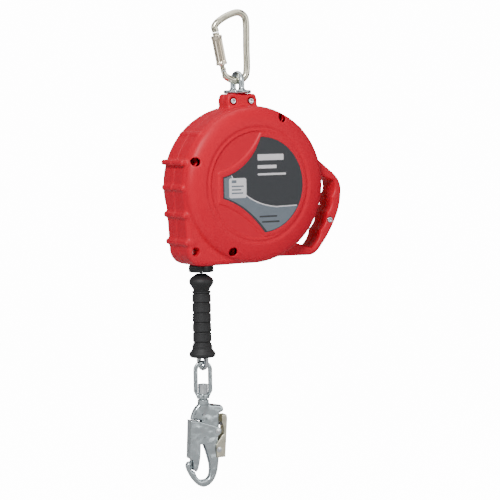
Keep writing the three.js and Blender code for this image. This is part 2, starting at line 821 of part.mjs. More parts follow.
// The gate in a frame whose origin is the hinge and whose z axis runs up the gate to the nose.
function carabinerGateBody() {
  const length = Math.hypot(NOSE[0] - HINGE[0], NOSE[1] - HINGE[1]);
  const bar = turnedZ(
    [
      [0, 7.5],
      [GATE_R, 7.5],
      [GATE_R, length - 2],
      [GATE_R - 1, length - 0.6],
      [0, length - 0.6],
    ],
    18,
  );
  const tongue = block([-3.2, -1.9, -3.2], [3.2, 1.9, 9]);
  return cut(join(bar, tongue), rodZ(1.9, 14, 40, 0, 0, 12), block([-1.9, -6, 16], [1.9, 0, 22]),
    rodY(1.9, 4, -4, 0, 0, 12));
}

function carabinerGroup() {
  const group = new THREE.Group();
  group.position.set(NECK_X, MID_Y, CARABINER_Z);
  group.rotation.z = CARABINER_TURN;
  const gate = new THREE.Group();
  gate.position.set(HINGE[0], 0, HINGE[1]);
  gate.rotation.y = Math.atan2(NOSE[0] - HINGE[0], NOSE[1] - HINGE[1]);
  const sleeve = ringZ(SLEEVE_R, GATE_R + GAP, 9, 53, 24);
  const spring = piece('carabiner_gate_spring', coilSpring(1.2, 0.35, 22, 6), looks.springSteel());
  spring.position.z = 16;
  gate.add(
    piece('carabiner_gate', carabinerGateBody(), looks.chromateSteel()),
    piece('gate_sleeve', sleeve, looks.chromateSteel()),
    spring,
  );
  const pin = piece('carabiner_pin', rodY(1.6, 4.9, -4.9, HINGE[0], HINGE[1], 12), looks.zincSteel());
  group.add(piece('carabiner_body', carabinerBody(), looks.chromateSteel()), pin, gate);
  return group;
}

// ---------------------------------------------------------------- lifeline

// The cable: straight down from the drum, then round the thimble and back into the ferrule.
function cableRun() {
  const loop = THIMBLE_R + 2 + CABLE_R + 0.1;
  const lay = CABLE_R + 0.15;
  const path = [
    [0, -27],
    [0, -90],
    [0, -150],
    [0, -196],
    [-lay, -208],
    [-lay, -222],
    [-loop + 2, -245],
  ];
  const arcSteps = 6;
  for (let i = 0; i <= arcSteps; i += 1) {
    const angle = Math.PI * (1 + i / arcSteps);
    path.push([loop * Math.cos(angle), THIMBLE_Z + loop * Math.sin(angle)]);
  }
  path.push([loop - 2, -245], [lay, -222], [lay, -209]);
  return rodAlong(smoothCurve(path.map(([u, z]) => [u, 0, z])), CABLE_R, 54, 3);
}

function thimble() {
  return turnedY(
    [[THIMBLE_R, 1.9], [THIMBLE_R, -1.9], [THIMBLE_R + 1.8, -1.9], [THIMBLE_R + 1.8, 1.9], [THIMBLE_R, 1.9]],
    24,
    0,
    THIMBLE_Z,
  );
}

function swageFerrule() {
  const outer = new THREE.Shape().absellipse(0, 0, 7, 4.4, 0, 2 * Math.PI);
  const inner = new THREE.Path().absellipse(0, 0, 5.8, 3.3, 0, 2 * Math.PI);
  outer.holes.push(inner);
  const geometry = new THREE.ExtrudeGeometry(outer, { depth: 13, bevelEnabled: false, curveSegments: 7 });
  geometry.translate(0, 0, -222);
  return solid(geometry);
}

// The rubber bumper: a knob at the top, a waist, a gripped barrel with six grooves and a flared foot.
function bumper() {
  const knobR = 18.2;
  const barrelR = 14;
  const footR = 19.5;
  const grooves = [-160, -173.5, -188.5, -203, -217.5, -232.5];
  const grooveHalf = 2;
  const grooveDeep = 1.7;
  const outside = [
    [8, BUMPER_TOP],
    [knobR - 2, -137],
    [knobR, -141],
    [knobR - 1, -146],
    [11.6, -156],
  ];
  for (const z of grooves) {
    outside.push([barrelR, z + 2 * grooveHalf], [barrelR - grooveDeep, z]);
  }
  outside.push([barrelR, -238], [footR, -248], [footR, -251], [footR - 2, BUMPER_BOTTOM]);
  const inside = [[15, BUMPER_BOTTOM], [15, -237], [8, -230], [8, -146], [3, -142], [3, BUMPER_TOP]];
  return turnedZ([...outside, ...inside, outside[0]], 18);
}

function lifelineGroup() {
  const group = new THREE.Group();
  group.position.set(CABLE_X, MID_Y, 0);
  group.rotation.z = THIMBLE_TURN;
  group.add(
    piece('cable_run', cableRun(), looks.wireRope()),
    piece('swage_ferrule', swageFerrule(), looks.aluminium()),
    piece('thimble', thimble(), looks.zincSteel()),
    piece('bumper', bumper(), looks.rubber()),
  );
  return group;
}

// ---------------------------------------------------------------- swivel link and snap hook

// An oval link whose lower end is a bored boss for the hook's stem.
function swivelLink() {
  const arcTop = LINK_TOP - LINK_HALF;
  const outline = new THREE.Shape();
  outline.moveTo(LINK_HALF, arcTop);
  outline.absarc(0, arcTop, LINK_HALF, 0, Math.PI);
  outline.lineTo(-LINK_HALF, -306);
  outline.lineTo(-8.5, LINK_BOTTOM);
  outline.lineTo(8.5, LINK_BOTTOM);
  outline.lineTo(LINK_HALF, -306);
  const open = LINK_HALF - LINK_BAR;
  const opening = new THREE.Shape();
  opening.moveTo(open, arcTop);
  opening.absarc(0, arcTop, open, 0, Math.PI);
  opening.lineTo(-open, -310);
  opening.lineTo(open, -310);
  const frame = cut(
    prism(outline, LINK_BAR / 2, -LINK_BAR / 2, 1.6),
    prism(opening, LINK_BAR, -LINK_BAR),
  );
  const boss = rodZ(9, LINK_BOTTOM, -310, 0, 0, 24);
  return cut(join(frame, boss), rodZ(5.4, LINK_BOTTOM - 1, -309, 0, 0, 24));
}

function linkGroup() {
  const group = new THREE.Group();
  group.position.set(CABLE_X, MID_Y, 0);
  group.rotation.z = LINK_TURN;
  group.add(piece('swivel_link', swivelLink(), looks.zincSteel()));
  return group;
}

// The forged hook in a frame whose origin is the top of its collar: shoulders, spine, bow and nose.
function hookOutline() {
  const shape = new THREE.Shape();
  shape.moveTo(-8, -2);
  shape.quadraticCurveTo(-18, -8, -21, -24);
  shape.lineTo(-6, -27);
  shape.lineTo(-3, -62);
  shape.quadraticCurveTo(2, -72, 7, -93);
  shape.quadraticCurveTo(9.5, -115, -1, -116);
  shape.lineTo(-5, -116); // flat seat where a harness ring bears
  shape.quadraticCurveTo(-12, -116, -15.5, -103.35);
  shape.lineTo(-21.8, -99.1); // slanted, so the gate's end can pass it
  shape.lineTo(-21.8, -86.7);
  shape.quadraticCurveTo(-30, -86, -30, -94);
  shape.quadraticCurveTo(-27, -106, -17, -118);
  shape.quadraticCurveTo(-9, -127.5, -1, -127.5);
  shape.quadraticCurveTo(14, -126, 20, -106);
  shape.quadraticCurveTo(24, -90, 23.5, -60);
  shape.lineTo(24.5, -18);
  shape.lineTo(31, -15);
  shape.quadraticCurveTo(33, -9, 27, -5.5);
  shape.lineTo(9, -2);
  return shape;
}

function hookBody() {
  const frame = prism(hookOutline(), HOOK_HALF, -HOOK_HALF, 1.8, 5);
  const stem = turnedZ([[0, -3], [8.5, -3], [8.5, 0], [8.5, 4.2], [5, 5.6], [5, 26], [0, 26]], 20);
  const dome = new THREE.SphereGeometry(7.2, 14, 8);
  dome.scale(1, 1, 1.5);
  dome.translate(0, 0, -4);
  const springPocket = rodY(7, 2.8, -2.8, ...GATE_PIVOT, 16);
  return cut(
    join(frame, stem, solid(dome)),
    rodY(3.3, 9, -9, ...GATE_PIVOT, 16),
    rodY(3.3, 9, -9, ...LEVER_PIVOT, 16),
    rodY(1.8, 9, -9, -2, -18, 10),
    springPocket,
    block([-1, -2.8, -51], [GATE_PIVOT[0], 2.8, -37]),
  );
}

// The gate: two cheeks over the body, joined by the web that closes the hook.
function hookGate() {
  const [u, w] = GATE_PIVOT;
  const outline = new THREE.Shape();
  outline.moveTo(u, w + 6);
  outline.lineTo(-8, -27.6);
  outline.lineTo(-23, -24.6);
  outline.lineTo(-25.5, -82);
  outline.lineTo(-20.5, -85);
  outline.lineTo(-20, -99.7);
  outline.lineTo(-16, -102.2);
  outline.lineTo(-13, -99);
  outline.quadraticCurveTo(-8, -84, -8, -62);
  outline.lineTo(10, -61.5);
  outline.absarc(u, w, 6, degrees(-60), degrees(90));
  const inside = polygon([[-18.5, -20], [-21.5, -81], [-17.6, -84], [-17.4, -110], [40, -110], [40, -20]]);
  return cut(
    prism(outline, 8.5, -8.5, 0, 8),
    prism(inside, HOOK_HALF + 1, -HOOK_HALF - 1),
    rodY(3.3, 9, -9, u, w, 16),
  );
}

// The lock lever on the back of the spine: squeezed in at its upper end.
function lockLever() {
  const outline = polygon([
    [27, -20],
    [34.5, -20],
    [35.5, -25],
    [31.5, -84],
    [17.5, -84],
    [17, -65],
    [26.5, -50.5],
    [29.3, -49],
    [29.3, -37],
    [27, -33],
  ]);
  const inside = polygon([[32.7, -10], [33.1, -25], [29, -90], [0, -90], [0, -10]]);
  return cut(
    prism(outline, 8.2, -8.2),
    prism(inside, HOOK_HALF + 0.8, -HOOK_HALF - 0.8),
    rodY(3.3, 9, -9, ...LEVER_PIVOT, 16),
  );
}

function rivet([x, z], cheek, shankR = 3) {
  const head = cheek + 1.4;
  const near = cheek + GAP;
  const profile = [
    [0, -head],
    [shankR + 1.2, -near - 0.3],
    [shankR + 1.2, -near],
    [shankR, -near],
    [shankR, near],
    [shankR + 1.2, near],
    [shankR + 1.2, near + 0.3],
    [0, head],
  ];
  return turnedY(profile, 12, x, z);
}

function hookGroup() {
  const group = new THREE.Group();
  group.position.set(CABLE_X, MID_Y, HOOK_TOP);
  group.rotation.z = HOOK_TURN;
  const nut = ringZ(7.4, 5.3, 13.5, 27.5, 20);
  const gateSpring = coilSpring(4.6, 0.6, 4.2, 3, 10);
  const gateSpringMesh = piece('hook_gate_spring', gateSpring, looks.springSteel());
  gateSpringMesh.rotation.x = Math.PI / 2;
  gateSpringMesh.position.set(GATE_PIVOT[0], 2.1, GATE_PIVOT[1]);
  const leverSpring = piece('lever_spring', coilSpring(2, 0.5, 6.4, 4), looks.springSteel());
  leverSpring.rotation.y = Math.PI / 2;
  leverSpring.position.set(25.6, 0, -34);
  group.add(
    piece('hook_body', hookBody(), looks.zincSteel()),
    piece('stem_nut', nut, looks.zincSteel()),
    piece('gate_rivet', rivet(GATE_PIVOT, 8.5), looks.zincSteel()),
    piece('lever_rivet', rivet(LEVER_PIVOT, 8.2), looks.zincSteel()),
    piece('stop_pin', rodY(1.5, 6.4, -6.4, -2, -18, 12), looks.zincSteel()),
    gateSpringMesh,
    leverSpring,
    piece('hook_gate', hookGate(), looks.zincSteel()),
    piece('lock_lever', lockLever(), looks.zincSteel()),
  );
  return group;
}

// ---------------------------------------------------------------- assembly

const group = new THREE.Group();
group.add(
  ...housingCovers(),
  ...labels(),
  ...coverScrews(),
  ...boltAndNut('neck_left', NECK_BOLTS[0], NECK_DEEP / 2, NECK_RECESS, 4.2),
  ...boltAndNut('neck_right', NECK_BOLTS[1], NECK_DEEP / 2, NECK_RECESS, 4.2),
  ...boltAndNut('handle', HANDLE_BOLT, HANDLE_HALF, HANDLE_RECESS, 4.4),
  cableNozzle(),
  ...fixedMechanism(),
  ...drumParts(),
  eyeGroup(),
  carabinerGroup(),
  lifelineGroup(),
  linkGroup(),
  hookGroup(),
);

export default group;
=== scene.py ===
import json
import math

import bpy
import numpy as np
from mathutils import Matrix, Vector


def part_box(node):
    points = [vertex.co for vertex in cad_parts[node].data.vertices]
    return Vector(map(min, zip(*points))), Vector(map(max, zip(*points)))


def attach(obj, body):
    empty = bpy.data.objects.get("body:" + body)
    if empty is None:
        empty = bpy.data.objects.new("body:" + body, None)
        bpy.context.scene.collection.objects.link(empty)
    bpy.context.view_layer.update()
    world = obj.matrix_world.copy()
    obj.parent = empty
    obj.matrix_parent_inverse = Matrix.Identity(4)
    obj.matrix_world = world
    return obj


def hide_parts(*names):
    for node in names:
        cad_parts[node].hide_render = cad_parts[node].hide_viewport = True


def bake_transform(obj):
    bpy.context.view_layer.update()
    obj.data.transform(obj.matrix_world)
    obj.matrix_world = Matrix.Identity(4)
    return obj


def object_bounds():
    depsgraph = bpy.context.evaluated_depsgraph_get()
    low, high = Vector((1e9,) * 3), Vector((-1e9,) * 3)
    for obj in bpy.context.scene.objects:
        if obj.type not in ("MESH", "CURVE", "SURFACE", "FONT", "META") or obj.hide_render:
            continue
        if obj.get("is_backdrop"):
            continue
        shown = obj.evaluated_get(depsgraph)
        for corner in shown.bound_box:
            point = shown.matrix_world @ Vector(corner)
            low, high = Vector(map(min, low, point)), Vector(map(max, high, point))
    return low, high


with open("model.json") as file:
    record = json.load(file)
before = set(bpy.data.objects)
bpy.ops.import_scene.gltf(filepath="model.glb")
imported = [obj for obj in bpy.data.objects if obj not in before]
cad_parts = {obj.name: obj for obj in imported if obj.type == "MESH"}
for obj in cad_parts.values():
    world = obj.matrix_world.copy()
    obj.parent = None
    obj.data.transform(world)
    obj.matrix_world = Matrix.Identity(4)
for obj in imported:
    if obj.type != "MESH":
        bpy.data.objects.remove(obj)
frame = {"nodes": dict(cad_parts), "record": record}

cad_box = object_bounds()

# All shape code works in millimetres in the row frame and is scaled to metres when a mesh is made.
MM = 0.001
MID_Y = -49.0


def node_low(node):
    return [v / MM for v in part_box(node)[0]]


def node_high(node):
    return [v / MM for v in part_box(node)[1]]


# ------------------------------------------------------------------ meshes

def make_object(name, vertices, faces, smooth=True):
    """A mesh object from millimetre vertices. faces is an array of quads or a list of polygons."""
    mesh = bpy.data.meshes.new(name)
    mesh.from_pydata((np.asarray(vertices, float) * MM).tolist(), [], [list(map(int, f)) for f in faces])
    mesh.update()
    mesh.validate()
    if smooth:
        mesh.polygons.foreach_set("use_smooth", [True] * len(mesh.polygons))
    obj = bpy.data.objects.new(name, mesh)
    bpy.context.collection.objects.link(obj)
    return obj


def finish_piece(obj, body, look, slot, *nodes):
    obj.data.materials.clear()
    obj.data.materials.append(look)
    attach(obj, body)
    if nodes:
        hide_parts(*nodes)
    return obj


# ------------------------------------------------------------------ solids as distance fields

class Field:
    """A grid of points over a box, in the local frame of a piece."""

    def __init__(self, low, high, step):
        self.low = np.array(low, float) - 2 * step
        self.step = step
        count = [int(math.ceil((h - l) / step)) + 5 for l, h in zip(low, high)]
        axes = [self.low[i] + step * np.arange(count[i]) for i in range(3)]
        self.x = axes[0].astype(np.float32)[:, None, None]
        self.y = axes[1].astype(np.float32)[None, :, None]
        self.z = axes[2].astype(np.float32)[None, None, :]
        self.shape = tuple(count)

    def full(self, d):
        return np.broadcast_to(d, self.shape).astype(np.float32)

    def surface(self, d):
        """Surface nets: a quad mesh of the zero level of the field d."""
        d = self.full(d)
        inside = d < 0
        n = self.shape
        cells = tuple(v - 1 for v in n)

        def corner(a, o):
            return a[o[0]:o[0] + cells[0], o[1]:o[1] + cells[1], o[2]:o[2] + cells[2]]

        count = np.zeros(cells, np.uint8)
        for o in np.ndindex(2, 2, 2):
            count += corner(inside, o)
        active = np.argwhere((count > 0) & (count < 8))
        index = np.full(cells, -1, np.int64)
        index[tuple(active.T)] = np.arange(len(active))
        total = np.zeros((len(active), 3))
        hits = np.zeros(len(active))
        for axis in range(3):
            others = [a for a in range(3) if a != axis]
            for u in (0, 1):
                for v in (0, 1):
                    start = np.zeros(3, int)
                    start[others[0]], start[others[1]] = u, v
                    end = start.copy()
                    end[axis] = 1
                    a = d[tuple((active + start).T)]
                    b = d[tuple((active + end).T)]
                    cross = (a < 0) != (b < 0)
                    t = np.where(cross, a / np.where(cross, a - b, 1), 0)
                    point = start[None, :] + (end - start)[None, :] * t[:, None]
                    total += point * cross[:, None]
                    hits += cross
        vertices = self.low + (active + total / hits[:, None]) * self.step
        quads = []
        for axis in range(3):
            u, v = (axis + 1) % 3, (axis + 2) % 3
            lower = [slice(None)] * 3
            upper = [slice(None)] * 3
            lower[axis], upper[axis] = slice(0, -1), slice(1, None)
            a, b = inside[tuple(lower)], inside[tuple(upper)]
            at = np.argwhere(a != b)
            keep = (at[:, u] > 0) & (at[:, v] > 0) & (at[:, u] < n[u] - 1) & (at[:, v] < n[v] - 1)
            at = at[keep]
            outward = a[tuple(at.T)]
            ring = []
            for du, dv in ((-1, -1), (0, -1), (0, 0), (-1, 0)):
                cell = at.copy()
                cell[:, u] += du
                cell[:, v] += dv
                ring.append(index[tuple(cell.T)])
            ring = np.stack(ring, 1)
            ring[~outward] = ring[~outward][:, ::-1]
            quads.append(ring)
        return vertices, np.concatenate(quads)


def polygon_field(a, b, points):
    """Signed distance from the points (a, b) to a closed outline: negative inside."""
    a, b = np.broadcast_arrays(a, b)
    best = np.full(a.shape, 1e9, np.float32)
    inside = np.zeros(a.shape, bool)
    for (x0, y0), (x1, y1) in zip(points, points[1:] + points[:1]):
        ex, ey = x1 - x0, y1 - y0
        length = ex * ex + ey * ey
        if length < 1e-9:
            continue
        t = np.clip(((a - x0) * ex + (b - y0) * ey) / length, 0, 1)
        best = np.minimum(best, (a - x0 - ex * t) ** 2 + (b - y0 - ey * t) ** 2)
        if y0 != y1:
            crosses = (b >= min(y0, y1)) & (b < max(y0, y1))
            inside ^= crosses & (a < x0 + (b - y0) * ex / (y1 - y0))
    return np.where(inside, -np.sqrt(best), np.sqrt(best)).astype(np.float32)


def rounded(d_outline, d_height, r):
    """An outline carried through a thickness, with its edges rounded to r."""
    p, q = d_outline + r, d_height + r
    return np.minimum(np.maximum(p, q), 0) + np.hypot(np.maximum(p, 0), np.maximum(q, 0)) - r


def join(a, b, k=0.0):
    """Union, with a fillet of about k."""
    if k <= 0:
        return np.minimum(a, b)
    h = np.maximum(k - np.abs(a - b), 0) / k
    return np.minimum(a, b) - h * h * k / 4


def cut(a, b, k=0.0):
    """a without b, with the edge rounded to about k."""
    return -join(-a, b, k)


def rod_y(g, x, z, r, y_low, y_high):
    radial = np.hypot(g.x - x, g.z - z) - r
    return np.maximum(radial, np.maximum(y_low - g.y, g.y - y_high))


def rod_z(g, x, y, r, z_low, z_high):
    radial = np.hypot(g.x - x, g.y - y) - r
    return np.maximum(radial, np.maximum(z_low - g.z, g.z - z_high))


def box_field(g, low, high, r=0.0):
    q = [np.abs(c - (l + h) / 2) - (h - l) / 2 + r for c, l, h in zip((g.x, g.y, g.z), low, high)]
    outer = np.sqrt(sum(np.maximum(v, 0) ** 2 for v in q))
    return outer + np.minimum(np.maximum(np.maximum(q[0], q[1]), q[2]), 0) - r


def chain_field(g, points, r):
    """A round rod along a chain of points."""
    best = None
    for p, q in zip(points[:-1], points[1:]):
        p, q = np.array(p, float), np.array(q, float)
        e = q - p
        t = np.clip(((g.x - p[0]) * e[0] + (g.y - p[1]) * e[1] + (g.z - p[2]) * e[2]) / e.dot(e), 0, 1)
        d = (g.x - p[0] - e[0] * t) ** 2 + (g.y - p[1] - e[1] * t) ** 2 + (g.z - p[2] - e[2] * t) ** 2
        best = d if best is None else np.minimum(best, d)
    return np.sqrt(best) - r


# ------------------------------------------------------------------ outlines

class Outline:
    """A closed outline drawn with lines, quadratic curves and arcs."""

    def __init__(self, x, z):
        self.points = [(x, z)]

    def line(self, *points):
        self.points += [tuple(p) for p in points]
        return self

    def quad(self, cx, cz, x, z, steps=14):
        x0, z0 = self.points[-1]
        for i in range(1, steps + 1):
            t = i / steps
            s = 1 - t
            self.points.append((s * s * x0 + 2 * s * t * cx + t * t * x, s * s * z0 + 2 * s * t * cz + t * t * z))
        return self

    def arc(self, cx, cz, r, start, end, steps=24):
        for i in range(steps + 1):
            angle = math.radians(start + (end - start) * i / steps)
            self.points.append((cx + r * math.cos(angle), cz + r * math.sin(angle)))
        return self


def smooth_chain(points, steps=8):
    """A Catmull-Rom curve through the points."""
    p = [np.array(v, float) for v in points]
    p = [2 * p[0] - p[1]] + p + [2 * p[-1] - p[-2]]
    out = []
    for i in range(1, len(p) - 2):
        for j in range(steps):
            t = j / steps
            out.append(0.5 * (2 * p[i] + (p[i + 1] - p[i - 1]) * t
                              + (2 * p[i - 1] - 5 * p[i] + 4 * p[i + 1] - p[i + 2]) * t * t
                              + (3 * p[i] - p[i - 1] - 3 * p[i + 1] + p[i + 2]) * t ** 3))
    out.append(p[-2])
    return out


def place(vertices, x, y, z, turn_deg=0.0):
    """Local vertices turned about Z and moved to a point of the row frame."""
    a = math.radians(turn_deg)
    v = np.asarray(vertices, float)
    return np.stack([x + v[:, 0] * math.cos(a) - v[:, 1] * math.sin(a),
                     y + v[:, 0] * math.sin(a) + v[:, 1] * math.cos(a),
                     z + v[:, 2]], 1)


def lathe(name, profile, x=0.0, y=MID_Y, segments=72, ripple=None):
    """A closed profile of (radius, z) turned about the Z axis. ripple changes the radius with the angle."""
    rows = []
    for i in range(segments):
        a = 2 * math.pi * i / segments
        for r, z in profile:
            rr = r if ripple is None else ripple(r, z, a)
            rows.append((x + rr * math.cos(a), y + rr * math.sin(a), z))
    n = len(profile)
    faces = [(i * n + j, ((i + 1) % segments) * n + j, ((i + 1) % segments) * n + (j + 1) % n, i * n + (j + 1) % n)
             for i in range(segments) for j in range(n)]
    return make_object(name, rows, faces)


def sharpen(obj, angle=35):
    """Smooth shading that keeps real corners."""
    with bpy.context.temp_override(object=obj, active_object=obj, selected_objects=[obj],
                                   selected_editable_objects=[obj]):
        bpy.ops.object.shade_smooth_by_angle(angle=math.radians(angle))
    return obj


def plate(name, points, y_back, y_front, bevel=0.0):
    """A flat plate with a rim, lying in an X-Z plane and facing -Y."""
    n = len(points)
    area = sum(a[0] * b[1] - b[0] * a[1] for a, b in zip(points, points[1:] + points[:1]))
    if area < 0:
        points = points[::-1]
    rows = [(x, y_front, z) for x, z in points] + [(x, y_back, z) for x, z in points]
    faces = [tuple(range(n)), tuple(range(2 * n - 1, n - 1, -1))]
    faces += [(i, i + n, (i + 1) % n + n, (i + 1) % n) for i in range(n)]
    obj = make_object(name, rows, faces, smooth=False)
    if bevel:
        modifier = obj.modifiers.new("edge", "BEVEL")
        modifier.width = bevel * MM
        modifier.segments = 2
        modifier.limit_method = "ANGLE"
        modifier.angle_limit = math.radians(50)
    return obj


# ------------------------------------------------------------------ materials

def material(name, colour, rough, metal=0.0, variation=0.08, patch=40.0, grain=1500.0, bump=0.12,
             grain_depth=0.00004, stretch=(1, 1, 1), edge=0.0, edge_highlight_colour=None, coat=0.0, specular=0.5, swell=0.0):
    """Colour and roughness that drift in soft patches, a fine grain, a painted highlight on convex edges and, on
    metal, a broad swell.
    """
    look = bpy.data.materials.new(name)
    look.use_nodes = True
    nodes, links = look.node_tree.nodes, look.node_tree.links
    shader = nodes["Principled BSDF"]
    shader.inputs["Metallic"].default_value = metal
    shader.inputs["Coat Weight"].default_value = coat
    shader.inputs["Coat Roughness"].default_value = 0.15
    shader.inputs["Specular IOR Level"].default_value = specular
    coords = nodes.new("ShaderNodeTexCoord")
    mapping = nodes.new("ShaderNodeMapping")
    mapping.inputs["Scale"].default_value = stretch
    links.new(coords.outputs["Object"], mapping.inputs["Vector"])

    patches = nodes.new("ShaderNodeTexNoise")
    patches.inputs["Scale"].default_value = patch
    patches.inputs["Detail"].default_value = 4
    links.new(mapping.outputs["Vector"], patches.inputs["Vector"])
    tone = nodes.new("ShaderNodeMix")
    tone.data_type = "RGBA"
    tone.inputs["A"].default_value = [c * (1 - variation) for c in colour] + [1]
    tone.inputs["B"].default_value = [min(1, c * (1 + variation)) for c in colour] + [1]
    links.new(patches.outputs["Fac"], tone.inputs["Factor"])
    colour_out = tone.outputs["Result"]
    # Painted highlight: sharp convex edges, found by pointiness, are mixed towards the lighter edge colour.
    if edge:
        geometry = nodes.new("ShaderNodeNewGeometry")
        edge_highlight_mask = nodes.new("ShaderNodeMapRange")
        edge_highlight_mask.inputs["From Min"].default_value = 0.52
        edge_highlight_mask.inputs["From Max"].default_value = 0.60
        edge_highlight_mask.inputs["To Max"].default_value = edge
        links.new(geometry.outputs["Pointiness"], edge_highlight_mask.inputs["Value"])
        edge_highlight_mix = nodes.new("ShaderNodeMix")
        edge_highlight_mix.data_type = "RGBA"
        edge_highlight_mix.inputs["B"].default_value = list(edge_highlight_colour or [min(1, c * 1.5 + 0.05) for c in colour]) + [1]
        links.new(edge_highlight_mask.outputs["Result"], edge_highlight_mix.inputs["Factor"])
        links.new(colour_out, edge_highlight_mix.inputs["A"])
        colour_out = edge_highlight_mix.outputs["Result"]
    links.new(colour_out, shader.inputs["Base Color"])

    roughness = nodes.new("ShaderNodeMapRange")
    roughness.inputs["To Min"].default_value = max(0.02, rough - 0.07)
    roughness.inputs["To Max"].default_value = min(1, rough + 0.07)
    links.new(patches.outputs["Fac"], roughness.inputs["Value"])
    links.new(roughness.outputs["Result"], shader.inputs["Roughness"])

    fine = nodes.new("ShaderNodeTexNoise")
    fine.inputs["Scale"].default_value = grain
    fine.inputs["Detail"].default_value = 3
    links.new(mapping.outputs["Vector"], fine.inputs["Vector"])
    relief = nodes.new("ShaderNodeBump")
    relief.inputs["Strength"].default_value = bump
    relief.inputs["Distance"].default_value = grain_depth
    links.new(fine.outputs["Fac"], relief.inputs["Height"])
    if swell:
        broad = nodes.new("ShaderNodeTexNoise")
        broad.inputs["Scale"].default_value = 62
        broad.inputs["Detail"].default_value = 1
        links.new(mapping.outputs["Vector"], broad.inputs["Vector"])
        wave = nodes.new("ShaderNodeBump")
        wave.inputs["Strength"].default_value = 1
        wave.inputs["Distance"].default_value = swell
        links.new(broad.outputs["Fac"], wave.inputs["Height"])
        links.new(wave.outputs["Normal"], relief.inputs["Normal"])
    links.new(relief.outputs["Normal"], shader.inputs["Normal"])
    return look


# The edge and edge colour of each finish below set its painted highlight on convex edges.
red_shell = material("red_moulded", (0.70, 0.003, 0.026), 0.44, grain=1400, bump=0.5, grain_depth=0.00010,
                     variation=0.05, patch=14, edge=0.30, edge_highlight_colour=(0.76, 0.03, 0.05), specular=0.26)
label_dark = material("label_charcoal", (0.022, 0.025, 0.030), 0.45, grain=900, bump=0.2, variation=0.15, patch=60)
label_grey = material("label_grey", (0.15, 0.18, 0.215), 0.45, grain=900, bump=0.2, variation=0.08, patch=60)
label_white = material("label_white", (0.80, 0.77, 0.80), 0.45, grain=900, bump=0.2, variation=0.03, patch=60)
zinc = material("zinc_plate", (0.54, 0.58, 0.61), 0.22, metal=1.0, variation=0.16, patch=55, grain=700,
                bump=0.4, grain_depth=0.00008, edge=0.5, edge_highlight_colour=(0.82, 0.84, 0.85), swell=0.0008)
forged = material("forged_zinc", (0.50, 0.56, 0.58), 0.22, metal=1.0, variation=0.18, patch=70, grain=420,
                  bump=0.6, grain_depth=0.00012, edge=0.6, edge_highlight_colour=(0.80, 0.82, 0.82), swell=0.0030)
chromate = material("yellow_chromate", (0.76, 0.72, 0.57), 0.20, metal=1.0, variation=0.14, patch=45, grain=600,
                    bump=0.3, grain_depth=0.00006, edge=0.15, edge_highlight_colour=(0.90, 0.89, 0.84), swell=0.0008)
sleeve_finish = material("sleeve_chromate", (0.88, 0.77, 0.60), 0.24, metal=1.0, variation=0.12, patch=60,
                         grain=900, bump=0.3, stretch=(1, 1, 0.08), edge=0.5, edge_highlight_colour=(0.93, 0.90, 0.84))
lever_finish = material("lever_chromate", (0.66, 0.63, 0.50), 0.30, metal=1.0, variation=0.16, patch=60, grain=500,
                        bump=0.5, grain_depth=0.00010, edge=0.5, edge_highlight_colour=(0.82, 0.81, 0.75), swell=0.0016)
dark_steel = material("oiled_steel", (0.09, 0.10, 0.11), 0.38, metal=0.8, variation=0.25, patch=80, grain=600)
spring_steel = material("drawn_steel", (0.34, 0.35, 0.37), 0.30, metal=0.95, variation=0.15, patch=90, grain=900)
aluminium = material("cast_aluminium", (0.68, 0.69, 0.70), 0.38, metal=0.9, variation=0.10, patch=60, grain=500)
bronze = material("sintered_bronze", (0.48, 0.30, 0.12), 0.45, metal=0.8, variation=0.20, patch=90, grain=900)
friction = material("pressed_lining", (0.15, 0.11, 0.08), 0.85, variation=0.35, patch=300, grain=900, bump=0.5)
black_plastic = material("black_moulded", (0.010, 0.011, 0.012), 0.30, variation=0.15, patch=30, grain=1200,
                         bump=0.35, edge=0.2, edge_highlight_colour=(0.07, 0.07, 0.08))
rubber = material("black_rubber", (0.011, 0.011, 0.012), 0.60, variation=0.25, patch=50, grain=900, bump=0.6,
                  grain_depth=0.00012, edge=0.25, edge_highlight_colour=(0.06, 0.06, 0.06))
rope = material("galvanised_wire", (0.50, 0.52, 0.54), 0.35, metal=0.9, variation=0.25, patch=400, grain=900)

SLOT_LOOKS = {
    "red_shell": red_shell, "label_dark": label_dark, "label_grey": label_grey, "label_white": label_white,
    "zinc_steel": zinc, "chromate_steel": chromate, "dark_steel": dark_steel, "spring_steel": spring_steel,
    "aluminium": aluminium, "bronze": bronze, "friction": friction, "black_plastic": black_plastic,
    "rubber": rubber, "wire_rope": rope,
}
for part in frame["record"]["subparts"]:
    node = frame["nodes"][part["node"]]
    look = SLOT_LOOKS[part["material_slot"]]
    if node.material_slots:
        for material_slot in node.material_slots:
            material_slot.material = look
    else:
        node.data.materials.append(look)


# ------------------------------------------------------------------ housing

HALF = 49.0
PLATE_HALF = 34.0
OUTLINE_R = 116.0
DISC_R = 82.0
DOME_R = 114.5
CORNER_X = -110.0
HOUSING_LOW = -117.0
DOME_EDGE = 36.0
LABEL_CENTRE = 4.0
WALL = 3.4
NECK_X = -7.5
HANDLE_HALF = 20.0
HANDLE_BOLT = (141.0, -58.5)
NECK_HALF = 16.0
NECK_BOLTS = ((NECK_X - 15, 123.5), (NECK_X + 15, 123.5))
